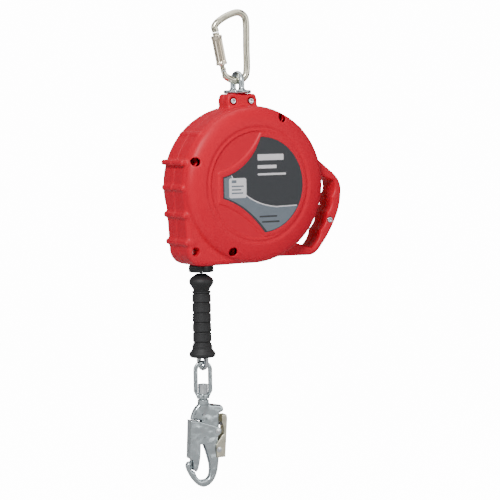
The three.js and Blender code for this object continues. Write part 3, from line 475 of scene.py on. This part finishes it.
# Place, half thickness of the housing there, depth of the recess and radius of the recess.
BOLT_SEATS = {
    "neck_left_bolt": (NECK_BOLTS[0], NECK_HALF, 4, 5.7),
    "neck_right_bolt": (NECK_BOLTS[1], NECK_HALF, 4, 5.7),
    "handle_bolt": (HANDLE_BOLT, HANDLE_HALF, 5, 4.9),
}
LABEL_DEEP = 0.8
PANEL_DEEP = 1.9
PANEL_R = 79.0
RING_GROOVE_R = 84.0
RIB_HALF = 4.0
RIB_PROUD = 4.0
LEFT_RIB_HEIGHTS = (35, -2, -42, -82)
ROUND_RIB_ANGLES = (139, 45)
SCREWS = ((-101.0, 36.0), (-98.0, -95.0), (-42.0, -97.0), (44.0, 98.0))


def housing_outline(inset):
    r = OUTLINE_R - inset
    corner = 24 - inset
    left, low = CORNER_X + inset, HOUSING_LOW + inset
    outline = Outline(-r, 0).arc(left + corner, low + corner, corner, 180, 270)
    return outline.line((-45, low), (0, -r)).arc(0, 0, r, 270, 540, 120).points


def dome_field(g, inset):
    """The drum-shaped middle: a flat disc on each face and an elliptical shoulder round it."""
    disc_r, edge = DISC_R - inset, DOME_EDGE
    shoulder = DOME_R - DISC_R
    profile = [(0.0, -5.0), (0.0, HALF - inset), (disc_r, HALF - inset)]
    for i in range(1, 19):
        a = i / 18 * math.pi / 2
        profile.append((disc_r + shoulder * math.sin(a), edge + (HALF - inset - edge) * math.cos(a)))
    profile.append((disc_r + shoulder, -5.0))
    step = 0.5
    radii = np.arange(0, 240, step, dtype=np.float32)[:, None]
    heights = np.arange(0, 80, step, dtype=np.float32)[None, :]
    table = polygon_field(radii, heights, profile)
    r = np.hypot(g.x, g.z) / step
    h = np.abs(g.y - MID_Y) / step
    r, h = np.broadcast_arrays(r, h)
    i, j = r.astype(np.int32), h.astype(np.int32)
    u, v = r - i, h - j
    return (table[i, j] * (1 - u) * (1 - v) + table[i + 1, j] * u * (1 - v)
            + table[i, j + 1] * (1 - u) * v + table[i + 1, j + 1] * u * v)


def handle_outline():
    return (Outline(96, 48).line((124, 32), (147, 14)).quad(161.5, 2, 161.5, -12).quad(161.5, -36, 152, -55)
            .quad(141, -79, 127, -95).quad(116, -111, 104, -111).line((40, -110), (50, -60), (96, 0)).points)


def handle_opening():
    """The hand opening: the round of the housing on one side, four finger grooves on the other."""
    def bar(t):
        s = 1 - t
        return (s * s * 148 + 2 * s * t * 143 + t * t * 108, s * s - 92 * s * t - 99 * t * t)

    r = OUTLINE_R + 1
    outline = Outline(r * math.cos(math.radians(-50)), r * math.sin(math.radians(-50)))
    outline.arc(0, 0, r, -50, 6, 40).line((148, 1))
    for i in range(4):
        (x0, z0), (x1, z1) = bar(i / 4), bar((i + 1) / 4)
        length = math.hypot(x1 - x0, z1 - z0)
        outline.quad((x0 + x1) / 2 - (z1 - z0) / length * 7, (z0 + z1) / 2 + (x1 - x0) / length * 7, x1, z1)
    return outline.points


def label_outline(inset):
    r = 71 - inset
    left = -60 + inset
    start = (LABEL_CENTRE + r * math.cos(math.radians(-86)), r * math.sin(math.radians(-86)))
    outline = Outline(*start).arc(LABEL_CENTRE, 0, r, -86, 90, 90)
    outline.quad(-14 + inset, 24 - inset, left, 13 - inset).line((left, -19 + inset))
    return outline.quad(-22 + inset, -30 + inset, *start).points


def rear_label_outline(inset):
    wide = 46 - inset
    return [(-wide, -62 + inset), (wide, -62 + inset), (wide, -16 - inset), (-wide, -16 - inset)]


def housing():
    low = [min(a, b) for a, b in zip(node_low("front_cover"), node_low("rear_cover"))]
    high = [max(a, b) for a, b in zip(node_high("front_cover"), node_high("rear_cover"))]
    g = Field(low, high, 1.1)
    off = np.abs(g.y - MID_Y)

    def outline_field(points):
        return polygon_field(g.x, g.z, points)

    skin = join(rounded(outline_field(housing_outline(0)), off - PLATE_HALF, 7), dome_field(g, 0), 5)
    lean = (CORNER_X + OUTLINE_R) / (HOUSING_LOW + 24)
    for z in LEFT_RIB_HEIGHTS:
        side = -OUTLINE_R + lean * min(z, 0)
        rib = box_field(g, (side - RIB_PROUD, MID_Y - PLATE_HALF, z - RIB_HALF),
                        (side + 12, MID_Y + PLATE_HALF, z + RIB_HALF), 3.4)
        skin = join(skin, rib, 4)
    for angle in ROUND_RIB_ANGLES:
        a = math.radians(angle)
        along = g.x * math.cos(a) + g.z * math.sin(a)
        across = -g.x * math.sin(a) + g.z * math.cos(a)
        q = [np.abs(along - 109) - 9, off - 32, np.abs(across) - RIB_HALF]
        q = [v + 3 for v in q]
        outer = np.sqrt(sum(np.maximum(v, 0) ** 2 for v in q))
        rib = outer + np.minimum(np.maximum(np.maximum(q[0], q[1]), q[2]), 0) - 3
        skin = join(skin, rib, 2.5)

    x = NECK_X
    neck = Outline(x - 44, 94).line((x + 44, 94)).quad(x + 26, 102, x + 23.5, 113)
    neck = neck.quad(x + 27, 124, x + 23.5, 131).quad(x + 22, 134.5, x + 19, 134.5).line((x - 19, 134.5))
    neck = neck.quad(x - 22, 134.5, x - 23.5, 131).quad(x - 27, 124, x - 23.5, 113).quad(x - 26, 102, x - 44, 94)
    skin = join(skin, rounded(outline_field(neck.points), off - NECK_HALF, 3.5), 6)

    handle = rounded(outline_field(handle_outline()), off - HANDLE_HALF, 5)
    handle = cut(handle, outline_field(handle_opening()), 5)
    skin = join(skin, handle, 5)

    ring = np.hypot(np.hypot(g.x, g.z) - RING_GROOVE_R, (off - HALF - 0.6) * 1.4) - 2.6
    skin = cut(skin, ring, 2)
    around_label = -outline_field(label_outline(-6.5))
    lens = np.maximum(np.maximum(around_label, np.hypot(g.x, g.z) - PANEL_R), HALF - PANEL_DEEP - off)
    skin = cut(skin, np.maximum(lens, g.y - MID_Y), 1.6)

    cavity = join(rounded(outline_field(housing_outline(WALL)), off - PLATE_HALF + WALL, 4), dome_field(g, WALL))
    cavity = join(cavity, box_field(g, (NECK_X - 11, MID_Y - 13, 92), (NECK_X + 11, MID_Y + 13, 124)))
    solid = cut(skin, cavity)
    for x, z in SCREWS:
        boss = np.maximum(rod_y(g, x, z, 8.6, MID_Y - 33, MID_Y + 33), skin)
        solid = join(solid, boss, 0.5)
        solid = cut(solid, rod_y(g, x, z, 6.2, MID_Y - 80, MID_Y - 15), 1.2)
        solid = cut(solid, rod_y(g, x, z, 2.7, MID_Y - 16, MID_Y + 18))
    for (x, z), half, deep, r in BOLT_SEATS.values():
        solid = cut(solid, rod_y(g, x, z, 2.8, -120, 20))
        solid = cut(solid, rod_y(g, x, z, r, -120, MID_Y - half + deep), 0.8)
        solid = cut(solid, rod_y(g, x, z, r, MID_Y + half - deep, 20), 0.8)
    solid = cut(solid, rod_z(g, NECK_X, MID_Y, 7, 118, 142))
    solid = cut(solid, rod_z(g, -73, MID_Y, 9.5, -122, -111))
    solid = cut(solid, np.maximum(outline_field(label_outline(0)), g.y - MID_Y + HALF - LABEL_DEEP))
    solid = cut(solid, np.maximum(outline_field(rear_label_outline(0)), MID_Y + HALF - LABEL_DEEP - g.y))
    front = np.maximum(solid, g.y - MID_Y + 0.2)
    rear = np.maximum(solid, MID_Y + 0.2 - g.y)
    front_piece = make_object("front_shell", *g.surface(front))
    rear_piece = make_object("rear_shell", *g.surface(rear))
    finish_piece(front_piece, "housing", red_shell, "red_shell", "front_cover")
    finish_piece(rear_piece, "housing", red_shell, "red_shell", "rear_cover")


housing()


# ------------------------------------------------------------------ labels

FACE = MID_Y - HALF
label_base = FACE + LABEL_DEEP
finish_piece(plate("face_label", label_outline(0.35), label_base - 0.02, label_base - 0.6, 0.15),
             "housing", label_dark, "label_dark", "front_label")
band = (Outline(-58, 11).line((-46, 15)).quad(-24, -28, 30, -33, 24).line((64, -32))
        .arc(LABEL_CENTRE, 0, 69.5, -28, -83, 40).quad(-20, -28, -58, -17, 24))
finish_piece(plate("face_band", band.points, label_base - 0.6, label_base - 0.72, 0.05),
             "housing", label_grey, "label_grey", "label_band")


def thick_curve(curve, width):
    """A ribbon of even width along a curve, as a closed outline."""
    left, right = [], []
    for i, (x, z) in enumerate(curve):
        ax, az = curve[max(i - 1, 0)]
        bx, bz = curve[min(i + 1, len(curve) - 1)]
        n = math.hypot(bx - ax, bz - az)
        nx, nz = -(bz - az) / n * width / 2, (bx - ax) / n * width / 2
        left.append((x + nx, z + nz))
        right.append((x - nx, z - nz))
    return left + right[::-1]


swoosh = Outline(-46, 15).quad(-24, -28, 30, -33, 24).line((64, -32)).points
finish_piece(plate("face_curve", thick_curve(swoosh, 1.6), label_base - 0.7, label_base - 0.8),
             "housing", label_white, "label_white")


def rounded_square(x0, z0, x1, z1, r):
    return (Outline(x0 + r, z0).line((x1 - r, z0)).arc(x1 - r, z0 + r, r, 270, 360, 6)
            .arc(x1 - r, z1 - r, r, 0, 90, 6).arc(x0 + r, z1 - r, r, 90, 180, 6)
            .arc(x0 + r, z0 + r, r, 180, 270, 6).points)


finish_piece(plate("face_sticker", rounded_square(-50, -18, -21.5, 11, 3), label_base - 0.72, label_base - 0.85),
             "housing", label_white, "label_white", "class_sticker")
# Plain printed bars stand for the print on the label.
MARKS = ((-2, 36, 42, 45), (-2, 24, 30, 29), (-2, 14, 46, 17), (0, -48, 30, -45.5), (4, -56, 34, -53.5))
for i, (x0, z0, x1, z1) in enumerate(MARKS):
    mark = plate(f"face_mark_{i + 1}", rounded_square(x0, z0, x1, z1, min(1.2, (z1 - z0) * 0.4)),
                 label_base - 0.58, label_base - 0.8)
    finish_piece(mark, "housing", label_white if i < 3 else label_dark, "label_white")
STICKER_MARKS = ((-46, -2, -26, 0), (-46, -7, -30, -5), (-46, -12, -27, -10), (-46, 4, -38, 8))
for i, (x0, z0, x1, z1) in enumerate(STICKER_MARKS):
    mark = plate(f"sticker_mark_{i + 1}", rounded_square(x0, z0, x1, z1, 0.7),
                 label_base - 0.84, label_base - 0.92)
    finish_piece(mark, "housing", label_grey, "label_grey")
rear_face = -LABEL_DEEP
finish_piece(plate("back_label", rear_label_outline(0.35), rear_face + 0.6, rear_face + 0.02, 0.15),
             "housing", label_white, "label_white", "rear_label")


# ------------------------------------------------------------------ bolts, nozzle and eye

def socket_bolt(name, node, x, z, seat, head_r, head_high):
    """A cap screw head with a hexagon socket, on its shank."""
    low, high = node_low(node), node_high(node)
    g = Field(low, high, 0.35)
    head = rounded(np.hypot(g.x - x, g.z - z) - head_r, np.abs(g.y - seat + head_high / 2) - head_high / 2, 0.5)
    body = join(head, rod_y(g, x, z, 2.35, seat - 1, high[1]))
    across = np.maximum(np.abs(g.z - z), np.abs(g.x - x) * 0.866 + np.abs(g.z - z) * 0.5) - 2.2
    body = cut(body, np.maximum(across, g.y - seat + head_high - 2.8))
    piece = make_object(name, *g.surface(body))
    return finish_piece(piece, "housing", zinc, "zinc_steel", node)


BOLT_HEAD_HIGH = 3.6
for name, ((x, z), half, deep, _) in BOLT_SEATS.items():
    head_r = (node_high(name)[0] - node_low(name)[0]) / 2
    socket_bolt(name + "_head", name, x, z, MID_Y - half + deep, head_r, BOLT_HEAD_HIGH)

nozzle = [(3.4, -106), (12, -106), (13, -113.3), (9, -113.3), (9, -117.3), (16.2, -117.3), (17.6, -117.7),
          (18.4, -118.5), (18.5, -119.6), (18.5, -126), (18.2, -127.2), (17.2, -127.9), (16, -128),
          (8, -128), (6.4, -127.5), (3.8, -124), (3.4, -122.5)]
finish_piece(sharpen(lathe("cable_guide", nozzle, x=-73)), "housing", black_plastic, "black_plastic",
             "cable_nozzle")


EYE_FLANGE_R = 20.5
EYE_FLANGE_LOW, EYE_FLANGE_HIGH = 134.8, 139.8
EYE_CROWN = 152.3
EYE_BOW_R = 11.7
EYE_ROD_R = 4.5
EYE_FLAT = 4.1
EYE_TURN = -86


def eye_piece():
    g = Field((-21, -21, 103), (21, 21, 170), 0.6)
    flange_middle, flange_half = (EYE_FLANGE_LOW + EYE_FLANGE_HIGH) / 2, (EYE_FLANGE_HIGH - EYE_FLANGE_LOW) / 2
    flange = rounded(np.hypot(g.x, g.y) - EYE_FLANGE_R, np.abs(g.z - flange_middle) - flange_half, 1.8)
    shank = rod_z(g, 0, 0, 6, 103, 136)
    arch = [(-EYE_BOW_R, 0, 138.5), (-EYE_BOW_R, 0, 145)]
    arch += [(EYE_BOW_R * math.cos(a), 0, EYE_CROWN + EYE_BOW_R * math.sin(a))
             for a in np.linspace(math.pi, 0, 25)]
    arch += [(EYE_BOW_R, 0, 145), (EYE_BOW_R, 0, 138.5)]
    bow = chain_field(g, arch, EYE_ROD_R)
    bow = -join(-bow, -(np.abs(g.y) - EYE_FLAT), 1.6)
    body = join(np.maximum(join(flange, bow, 4), EYE_FLANGE_LOW - g.z), shank)
    v, f = g.surface(body)
    finish_piece(make_object("anchor_eye_forging", place(v, NECK_X, MID_Y, 0, EYE_TURN), f), "anchor_eye",
                 forged, "zinc_steel", "swivel_eye")


eye_piece()


# ------------------------------------------------------------------ carabiner

CARABINER = (NECK_X, MID_Y, 153.5, -12.0)
CARABINER_ROD_R = 5.1
NOSE = (-32.3, 72.0)
HINGE = (-21.6, 15.0)
HINGE_HOLE_R = 1.9
GATE_LENGTH = math.hypot(NOSE[0] - HINGE[0], NOSE[1] - HINGE[1])
GATE_END = GATE_LENGTH - 0.6
GATE_R = 4.6


def carabiner():
    path = [(NOSE[0], NOSE[1] + 1.5), (-33.8, 80), (-28, 87.5), (-14.5, 96), (1, 101), (11, 97), (14.8, 85.5),
            (14.9, 50), (14.9, 16), (10.5, 4.6), (-0.5, 0), (-13.4, 4), (-20.6, 11), (HINGE[0] - 0.8, HINGE[1] + 5)]
    chain = smooth_chain([(u, 0, w) for u, w in path], 7)
    g = Field((-40, -7, -6), (21, 7, 107), 0.6)
    body = chain_field(g, chain, CARABINER_ROD_R)
    up_gate = (g.x - HINGE[0]) * (NOSE[0] - HINGE[0]) + (g.z - HINGE[1]) * (NOSE[1] - HINGE[1])
    nose_cap = np.maximum(GATE_LENGTH - 0.2 - up_gate / GATE_LENGTH, g.x + 22)
    body = np.maximum(body, np.where((g.x < -22) & (g.z < 80), nose_cap, -1e3))
    body = cut(body, box_field(g, (-40, -2.3, HINGE[1] - 5), (-12, 2.3, HINGE[1] + 8)), 0.6)
    body = np.maximum(body, np.where((g.x < -12) & (g.z > HINGE[1] + 2) & (g.z < 60), g.z - HINGE[1] - 5, -1e3))
    body = cut(body, rod_y(g, HINGE[0], HINGE[1], HINGE_HOLE_R, -9, 9))
    v, f = g.surface(body)
    finish_piece(make_object("carabiner_ring", place(v, *CARABINER), f), "carabiner", chromate,
                 "chromate_steel", "carabiner_body")


carabiner()


def gate_frame(vertices):
    """From the gate's own frame, with Z along the gate, to the row frame."""
    tilt = math.atan2(NOSE[0] - HINGE[0], NOSE[1] - HINGE[1])
    v = np.asarray(vertices, float)
    u = HINGE[0] + v[:, 0] * math.cos(tilt) + v[:, 2] * math.sin(tilt)
    w = HINGE[1] - v[:, 0] * math.sin(tilt) + v[:, 2] * math.cos(tilt)
    return place(np.stack([u, v[:, 1], w], 1), *CARABINER)


def moved(obj, change):
    """Gives a new piece's mesh its place."""
    v = np.array([p.co for p in obj.data.vertices]) / MM
    obj.data.vertices.foreach_set("co", (change(v) * MM).ravel())
    obj.data.update()
    return obj


FLUTES = 9
FLUTE_DEEP = 1.2


def sleeve_ripple(r, z, a):
    """Lengthwise flutes between the plain ends of the sleeve."""
    if r < 6 or z < 14 or z > 48:
        return r
    return r - FLUTE_DEEP * max(0.0, math.cos(FLUTES * a)) ** 0.6


def carabiner_gate():
    g = Field((-6, -6, -4), (6, 6, 59), 0.5)

    def round_bar(low, r, edge):
        middle, half = (low + GATE_END) / 2, (GATE_END - low) / 2
        return rounded(np.hypot(g.x, g.y) - r, np.abs(g.z - middle) - half, edge)

    bar = join(round_bar(7.5, GATE_R, 1), round_bar(53.4, CARABINER_ROD_R, 0.4))
    body = join(bar, box_field(g, (-3.2, -1.9, -3.2), (3.2, 1.9, 9), 0.8))
    body = cut(body, rod_z(g, 0, 0, HINGE_HOLE_R, 14, 40))
    body = cut(body, box_field(g, (-HINGE_HOLE_R, -6, 16), (HINGE_HOLE_R, 0, 22)))
    body = cut(body, rod_y(g, 0, 0, HINGE_HOLE_R, -4, 4))
    v, f = g.surface(body)
    finish_piece(make_object("carabiner_gate_bar", gate_frame(v), f), "carabiner_gate", chromate,
                 "chromate_steel", "carabiner_gate")
    outer = [(4.9, 9), (7.6, 9), (8.2, 9.7), (8.2, 12.6), (7.7, 13.6), (7.7, 14.6)]
    outer += [(7.7, 14.6 + i * 1.3) for i in range(1, 25)]
    outer += [(7.7, 48.2), (8.2, 49.2), (8.2, 52.3), (7.6, 53), (4.9, 53)]
    sleeve = moved(lathe("fluted_sleeve", outer, 0, 0, 120, sleeve_ripple), gate_frame)
    finish_piece(sharpen(sleeve), "gate_sleeve", sleeve_finish, "chromate_steel", "gate_sleeve")


carabiner_gate()


# ------------------------------------------------------------------ cable, bumper and link

CABLE_X = -73.0


ROPE_CORE_R = 2.1
STRAND_PROUD = 0.3
ROPE_LAY = 30.0


def cable():
    """The paid-out rope between housing and bumper, at one fixed length; it is not drawn out as the lifeline is
    pulled.
    """
    rings, sides = 60, 42
    top, bottom = -100.0, -150.0
    rows = []
    for i in range(rings + 1):
        z = top + (bottom - top) * i / rings
        lay = 2 * math.pi * (z - top) / ROPE_LAY
        for j in range(sides):
            a = 2 * math.pi * j / sides
            r = ROPE_CORE_R + STRAND_PROUD * abs(math.cos(3 * (a + lay)))
            rows.append((CABLE_X + r * math.cos(a), MID_Y + r * math.sin(a), z))
    faces = [(i * sides + j, (i + 1) * sides + j, (i + 1) * sides + (j + 1) % sides, i * sides + (j + 1) % sides)
             for i in range(rings) for j in range(sides)]
    faces.append(tuple(range(sides)))
    faces.append(tuple(range(rings * sides + sides - 1, rings * sides - 1, -1)))
    obj = make_object("paid_out_rope", rows, faces)
    obj.data.materials.append(rope)
    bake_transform(obj)


cable()


def bumper():
    grooves = (-160, -173.5, -188.5, -203, -217.5, -232.5)
    outside = [(3.2, -130.6), (7.4, -130.6), (8.6, -131.2), (12.5, -134), (15.8, -136.6), (17.5, -138.8),
               (18.2, -141), (18.1, -143.6), (17.2, -146), (15.2, -149), (13, -152.4), (12, -155), (11.9, -156)]
    for z in grooves:
        outside += [(13.9, z + 3.4), (14, z + 2.6), (13.8, z + 1.7), (12.8, z + 0.9), (12.4, z), (12.8, z - 0.9),
                    (13.8, z - 1.7)]
    outside += [(14, -236), (14.2, -239.5), (15.6, -243.5), (18.4, -247), (19.4, -248.6), (19.5, -250.6),
                (19.1, -253), (17.4, -254.7), (15.2, -254.7), (15, -253.8), (15, -238), (8, -230.4), (8, -146),
                (3.2, -142)]
    finish_piece(sharpen(lathe("rubber_bumper", outside, CABLE_X, segments=96), 30), "lifeline", rubber, "rubber",
                 "bumper")


bumper()


def link():
    low, high = node_low("swivel_link"), node_high("swivel_link")
    top = high[2]
    bottom = low[2]
    half = 14.5
    bar = 6.2
    centre = top - half
    frame_outline = (Outline(half, centre).arc(0, centre, half, 0, 180, 36)
                     .line((-half, bottom + 11), (-8.5, bottom), (8.5, bottom), (half, bottom + 11)).points)
    opening = (Outline(half - bar, centre).arc(0, centre, half - bar, 0, 180, 30)
               .line((-half + bar, -310), (half - bar, -310)).points)
    g = Field((-15, -9, bottom), (15, 9, top), 0.5)
    body = rounded(polygon_field(g.x, g.z, frame_outline), np.abs(g.y) - bar / 2, 2.4)
    body = cut(body, polygon_field(g.x, g.z, opening), 2)
    body = join(body, rounded(np.hypot(g.x, g.y) - 9, np.abs(g.z - (bottom - 310) / 2) - (-310 - bottom) / 2, 1), 2)
    body = cut(body, rod_z(g, 0, 0, 8, -309.9, -281))
    body = cut(body, rod_z(g, 0, 0, 5.4, bottom - 2, -308))
    v, f = g.surface(body)
    finish_piece(make_object("link_forging", place(v, CABLE_X, MID_Y, 0, -10), f), "link", forged, "zinc_steel",
                 "swivel_link")


link()


# ------------------------------------------------------------------ snap hook

HOOK = (CABLE_X, MID_Y, -323.0, -5.0)
GATE_PIVOT = (19.7, -44.0)
LEVER_PIVOT = (21.2, -72.0)
RIVET_HOLE_R = 3.3
HOOK_HALF = 5.5
HOOK_GATE_HALF = 8.5
LEVER_HALF = 8.2


def hook_outline():
    return (Outline(-8, -2).quad(-18, -8, -21, -24).line((-6, -27), (-3, -62)).quad(2, -72, 7, -93)
            .quad(9.5, -115, -1, -116).line((-5, -116)).quad(-12, -116, -15.5, -103.35)
            .line((-21.8, -99.1), (-21.8, -86.7)).quad(-30, -86, -30, -94).quad(-27, -106, -17, -118)
            .quad(-9, -127.5, -1, -127.5).quad(14, -126, 20, -106).quad(24, -90, 23.5, -60)
            .line((24.5, -18), (31, -15)).quad(33, -9, 27, -5.5).line((9, -2)).points)


def hook():
    g = Field((-31, -9, -128), (33, 9, 27), 0.6)
    body = rounded(polygon_field(g.x, g.z, hook_outline()), np.abs(g.y) - HOOK_HALF, 4.4)
    stem = join(rounded(np.hypot(g.x, g.y) - 8.5, np.abs(g.z - 0.6) - 3.6, 1), rod_z(g, 0, 0, 5, 0, 26))
    dome = (np.sqrt(g.x ** 2 + g.y ** 2 + ((g.z + 4) / 1.5) ** 2) - 7.2)
    body = join(join(body, dome, 2.5), stem, 1)
    body = cut(body, rod_y(g, *GATE_PIVOT, RIVET_HOLE_R, -9, 9))
    body = cut(body, rod_y(g, *LEVER_PIVOT, RIVET_HOLE_R, -9, 9))
    body = cut(body, rod_y(g, -2, -18, 1.8, -9, 9))
    body = cut(body, rod_y(g, *GATE_PIVOT, 7, -2.8, 2.8))
    body = cut(body, box_field(g, (-1, -2.8, -51), (GATE_PIVOT[0], 2.8, -37)))
    v, f = g.surface(body)
    finish_piece(make_object("hook_forging", place(v, *HOOK), f), "snap_hook", forged, "zinc_steel", "hook_body")


hook()


def hook_gate():
    u, w = GATE_PIVOT
    outline = (Outline(u, w + 6).line((-8, -27.6), (-23, -24.6), (-25.5, -82), (-20.5, -85), (-20, -99.7),
                                      (-16, -102.2), (-13, -99)).quad(-8, -84, -8, -62)
               .line((10, -61.5)).arc(u, w, 6, -60, 90, 12).points)
    inside = [(-18.5, -20), (-21.5, -81), (-17.6, -84), (-17.4, -110), (40, -110), (40, -20)]
    g = Field((-26, -8.5, -103), (26, 8.5, -24), 0.5)
    body = rounded(polygon_field(g.x, g.z, outline), np.abs(g.y) - HOOK_GATE_HALF, 1.1)
    body = cut(body, np.maximum(polygon_field(g.x, g.z, inside), np.abs(g.y) - 6.5), 0.4)
    body = cut(body, rod_y(g, u, w, RIVET_HOLE_R, -9, 9))
    v, f = g.surface(body)
    finish_piece(make_object("hook_gate_plate", place(v, *HOOK), f), "hook_gate", forged, "zinc_steel",
                 "hook_gate")


hook_gate()


def lever():
    outline = [(27, -20), (34.5, -20), (35.5, -25), (31.5, -84), (17.5, -84), (17, -65), (26.5, -50.5),
               (29.3, -49), (29.3, -37), (27, -33)]
    inside = [(32.7, -10), (33.1, -25), (29, -90), (0, -90), (0, -10)]
    g = Field((16, -8.2, -85), (37, 8.2, -19), 0.5)
    body = rounded(polygon_field(g.x, g.z, outline), np.abs(g.y) - LEVER_HALF, 1)
    body = cut(body, np.maximum(polygon_field(g.x, g.z, inside), np.abs(g.y) - 6.3), 0.4)
    body = cut(body, rod_y(g, *LEVER_PIVOT, RIVET_HOLE_R, -9, 9))
    v, f = g.surface(body)
    finish_piece(make_object("lock_lever_plate", place(v, *HOOK), f), "lock_lever", lever_finish, "zinc_steel",
                 "lock_lever")


lever()


# ------------------------------------------------------------------ floor, light and camera

PAPER_GLOW = 14.0


def glow_for_camera(look, strength):
    """White paper that is bright in the picture and adds no light to the object."""
    nodes, links = look.node_tree.nodes, look.node_tree.links
    shader = nodes["Principled BSDF"]
    shader.inputs["Emission Color"].default_value = (1, 1, 1, 1)
    ray = nodes.new("ShaderNodeLightPath")
    level = nodes.new("ShaderNodeMath")
    level.operation = "MULTIPLY"
    level.inputs[1].default_value = strength
    links.new(ray.outputs["Is Camera Ray"], level.inputs[0])
    links.new(level.outputs["Value"], shader.inputs["Emission Strength"])


def room_for_reflections(tree, even):
    """Even light on matt surfaces, bright and dark patches for the metal to reflect, white behind it all."""
    nodes, links = tree.nodes, tree.links
    direction = nodes.new("ShaderNodeTexCoord")
    patches = nodes.new("ShaderNodeTexNoise")
    patches.inputs["Scale"].default_value = 2.4
    patches.inputs["Detail"].default_value = 0
    links.new(direction.outputs["Generated"], patches.inputs["Vector"])
    bands = nodes.new("ShaderNodeValToRGB")
    bands.color_ramp.elements[0].position = 0.44
    bands.color_ramp.elements[0].color = (0.02, 0.02, 0.02, 1)
    bands.color_ramp.elements[1].position = 0.56
    bands.color_ramp.elements[1].color = (1, 1, 1, 1)
    links.new(patches.outputs["Fac"], bands.inputs["Fac"])
    room = nodes.new("ShaderNodeBackground")
    room.inputs["Strength"].default_value = 1.6
    links.new(bands.outputs["Color"], room.inputs["Color"])
    ray = nodes.new("ShaderNodeLightPath")
    choice = nodes.new("ShaderNodeMixShader")
    links.new(ray.outputs["Is Glossy Ray"], choice.inputs["Fac"])
    links.new(even.outputs["Background"], choice.inputs[1])
    links.new(room.outputs["Background"], choice.inputs[2])
    seen = nodes.new("ShaderNodeBackground")
    seen.inputs["Color"].default_value = (1, 1, 1, 1)
    seen.inputs["Strength"].default_value = PAPER_GLOW
    picture = nodes.new("ShaderNodeMixShader")
    links.new(ray.outputs["Is Camera Ray"], picture.inputs["Fac"])
    links.new(choice.outputs["Shader"], picture.inputs[1])
    links.new(seen.outputs["Background"], picture.inputs[2])
    links.new(picture.outputs["Shader"], nodes["World Output"].inputs["Surface"])


def stage():
    low = cad_box[0]
    floor = bpy.data.meshes.new("floor")
    z = low[2] - 0.02
    back = 1.6
    rows = []
    steps = 16
    profile = [(-5.0, z), (back, z)]
    profile += [(back + 0.8 * math.sin(a), z + 0.8 * (1 - math.cos(a)))
                for a in np.linspace(0, math.pi / 2, steps)[1:]]
    profile.append((back + 0.8, z + 5))
    for y, h in profile:
        rows += [(-6, y, h), (6, y, h)]
    faces = [(2 * i, 2 * i + 1, 2 * i + 3, 2 * i + 2) for i in range(len(profile) - 1)]
    floor.from_pydata(rows, [], faces)
    for polygon in floor.polygons:
        polygon.use_smooth = True
    obj = bpy.data.objects.new("floor", floor)
    obj.rotation_euler[2] = math.radians(-29)
    bpy.context.collection.objects.link(obj)
    paper = material("studio_paper", (0.70, 0.70, 0.70), 0.9, variation=0.01, patch=3, grain=200, bump=0.05)
    glow_for_camera(paper, PAPER_GLOW)
    floor.materials.append(paper)
    obj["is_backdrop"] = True

    world = bpy.data.worlds.new("studio")
    world.use_nodes = True
    even = world.node_tree.nodes["Background"]
    even.inputs["Color"].default_value = (1, 1, 1, 1)
    even.inputs["Strength"].default_value = 0.13
    room_for_reflections(world.node_tree, even)
    bpy.context.scene.world = world

    def area(name, place_m, aim, size, power):
        light = bpy.data.lights.new(name, "AREA")
        light.size = size
        light.energy = power
        lamp = bpy.data.objects.new(name, light)
        lamp.location = place_m
        lamp.rotation_euler = (Vector(aim) - Vector(place_m)).to_track_quat("-Z", "Y").to_euler()
        bpy.context.collection.objects.link(lamp)

    area("key_light", (-1.25, -1.45, 1.15), (0, 0, 0), 0.5, 47)
    area("fill_light", (0.9, -1.9, 0.1), (0, 0, -0.1), 1.2, 4)
    area("top_light", (0, 0.1, 1.8), (0, 0, 0), 1.4, 10)


stage()


def camera():
    azimuth, elevation, distance = math.radians(-29), math.radians(4.5), 2.5
    towards = Vector((math.sin(azimuth) * math.cos(elevation), -math.cos(azimuth) * math.cos(elevation),
                      math.sin(elevation)))
    right = Vector((math.cos(azimuth), math.sin(azimuth), 0))
    up = towards.cross(right)
    disc = Vector((0, FACE * MM, 0))
    aim = disc - right * 0.0148 - up * 0.0955
    lens = bpy.data.cameras.new("camera")
    lens.sensor_width = 36
    lens.lens = 122.4
    lens.clip_end = 50
    eye = bpy.data.objects.new("camera", lens)
    depth = Matrix((right, up, towards)).transposed()
    roll = Matrix.Rotation(math.radians(-0.8), 3, "Z")
    eye.matrix_world = Matrix.Translation(aim + towards * distance) @ (depth @ roll).to_4x4()
    bpy.context.collection.objects.link(eye)
    bpy.context.scene.camera = eye


camera()

for box, name in ((cad_box, "cad"), (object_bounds(), "visual")):
    print(name, [[round(float(v), 4) for v in corner] for corner in box])
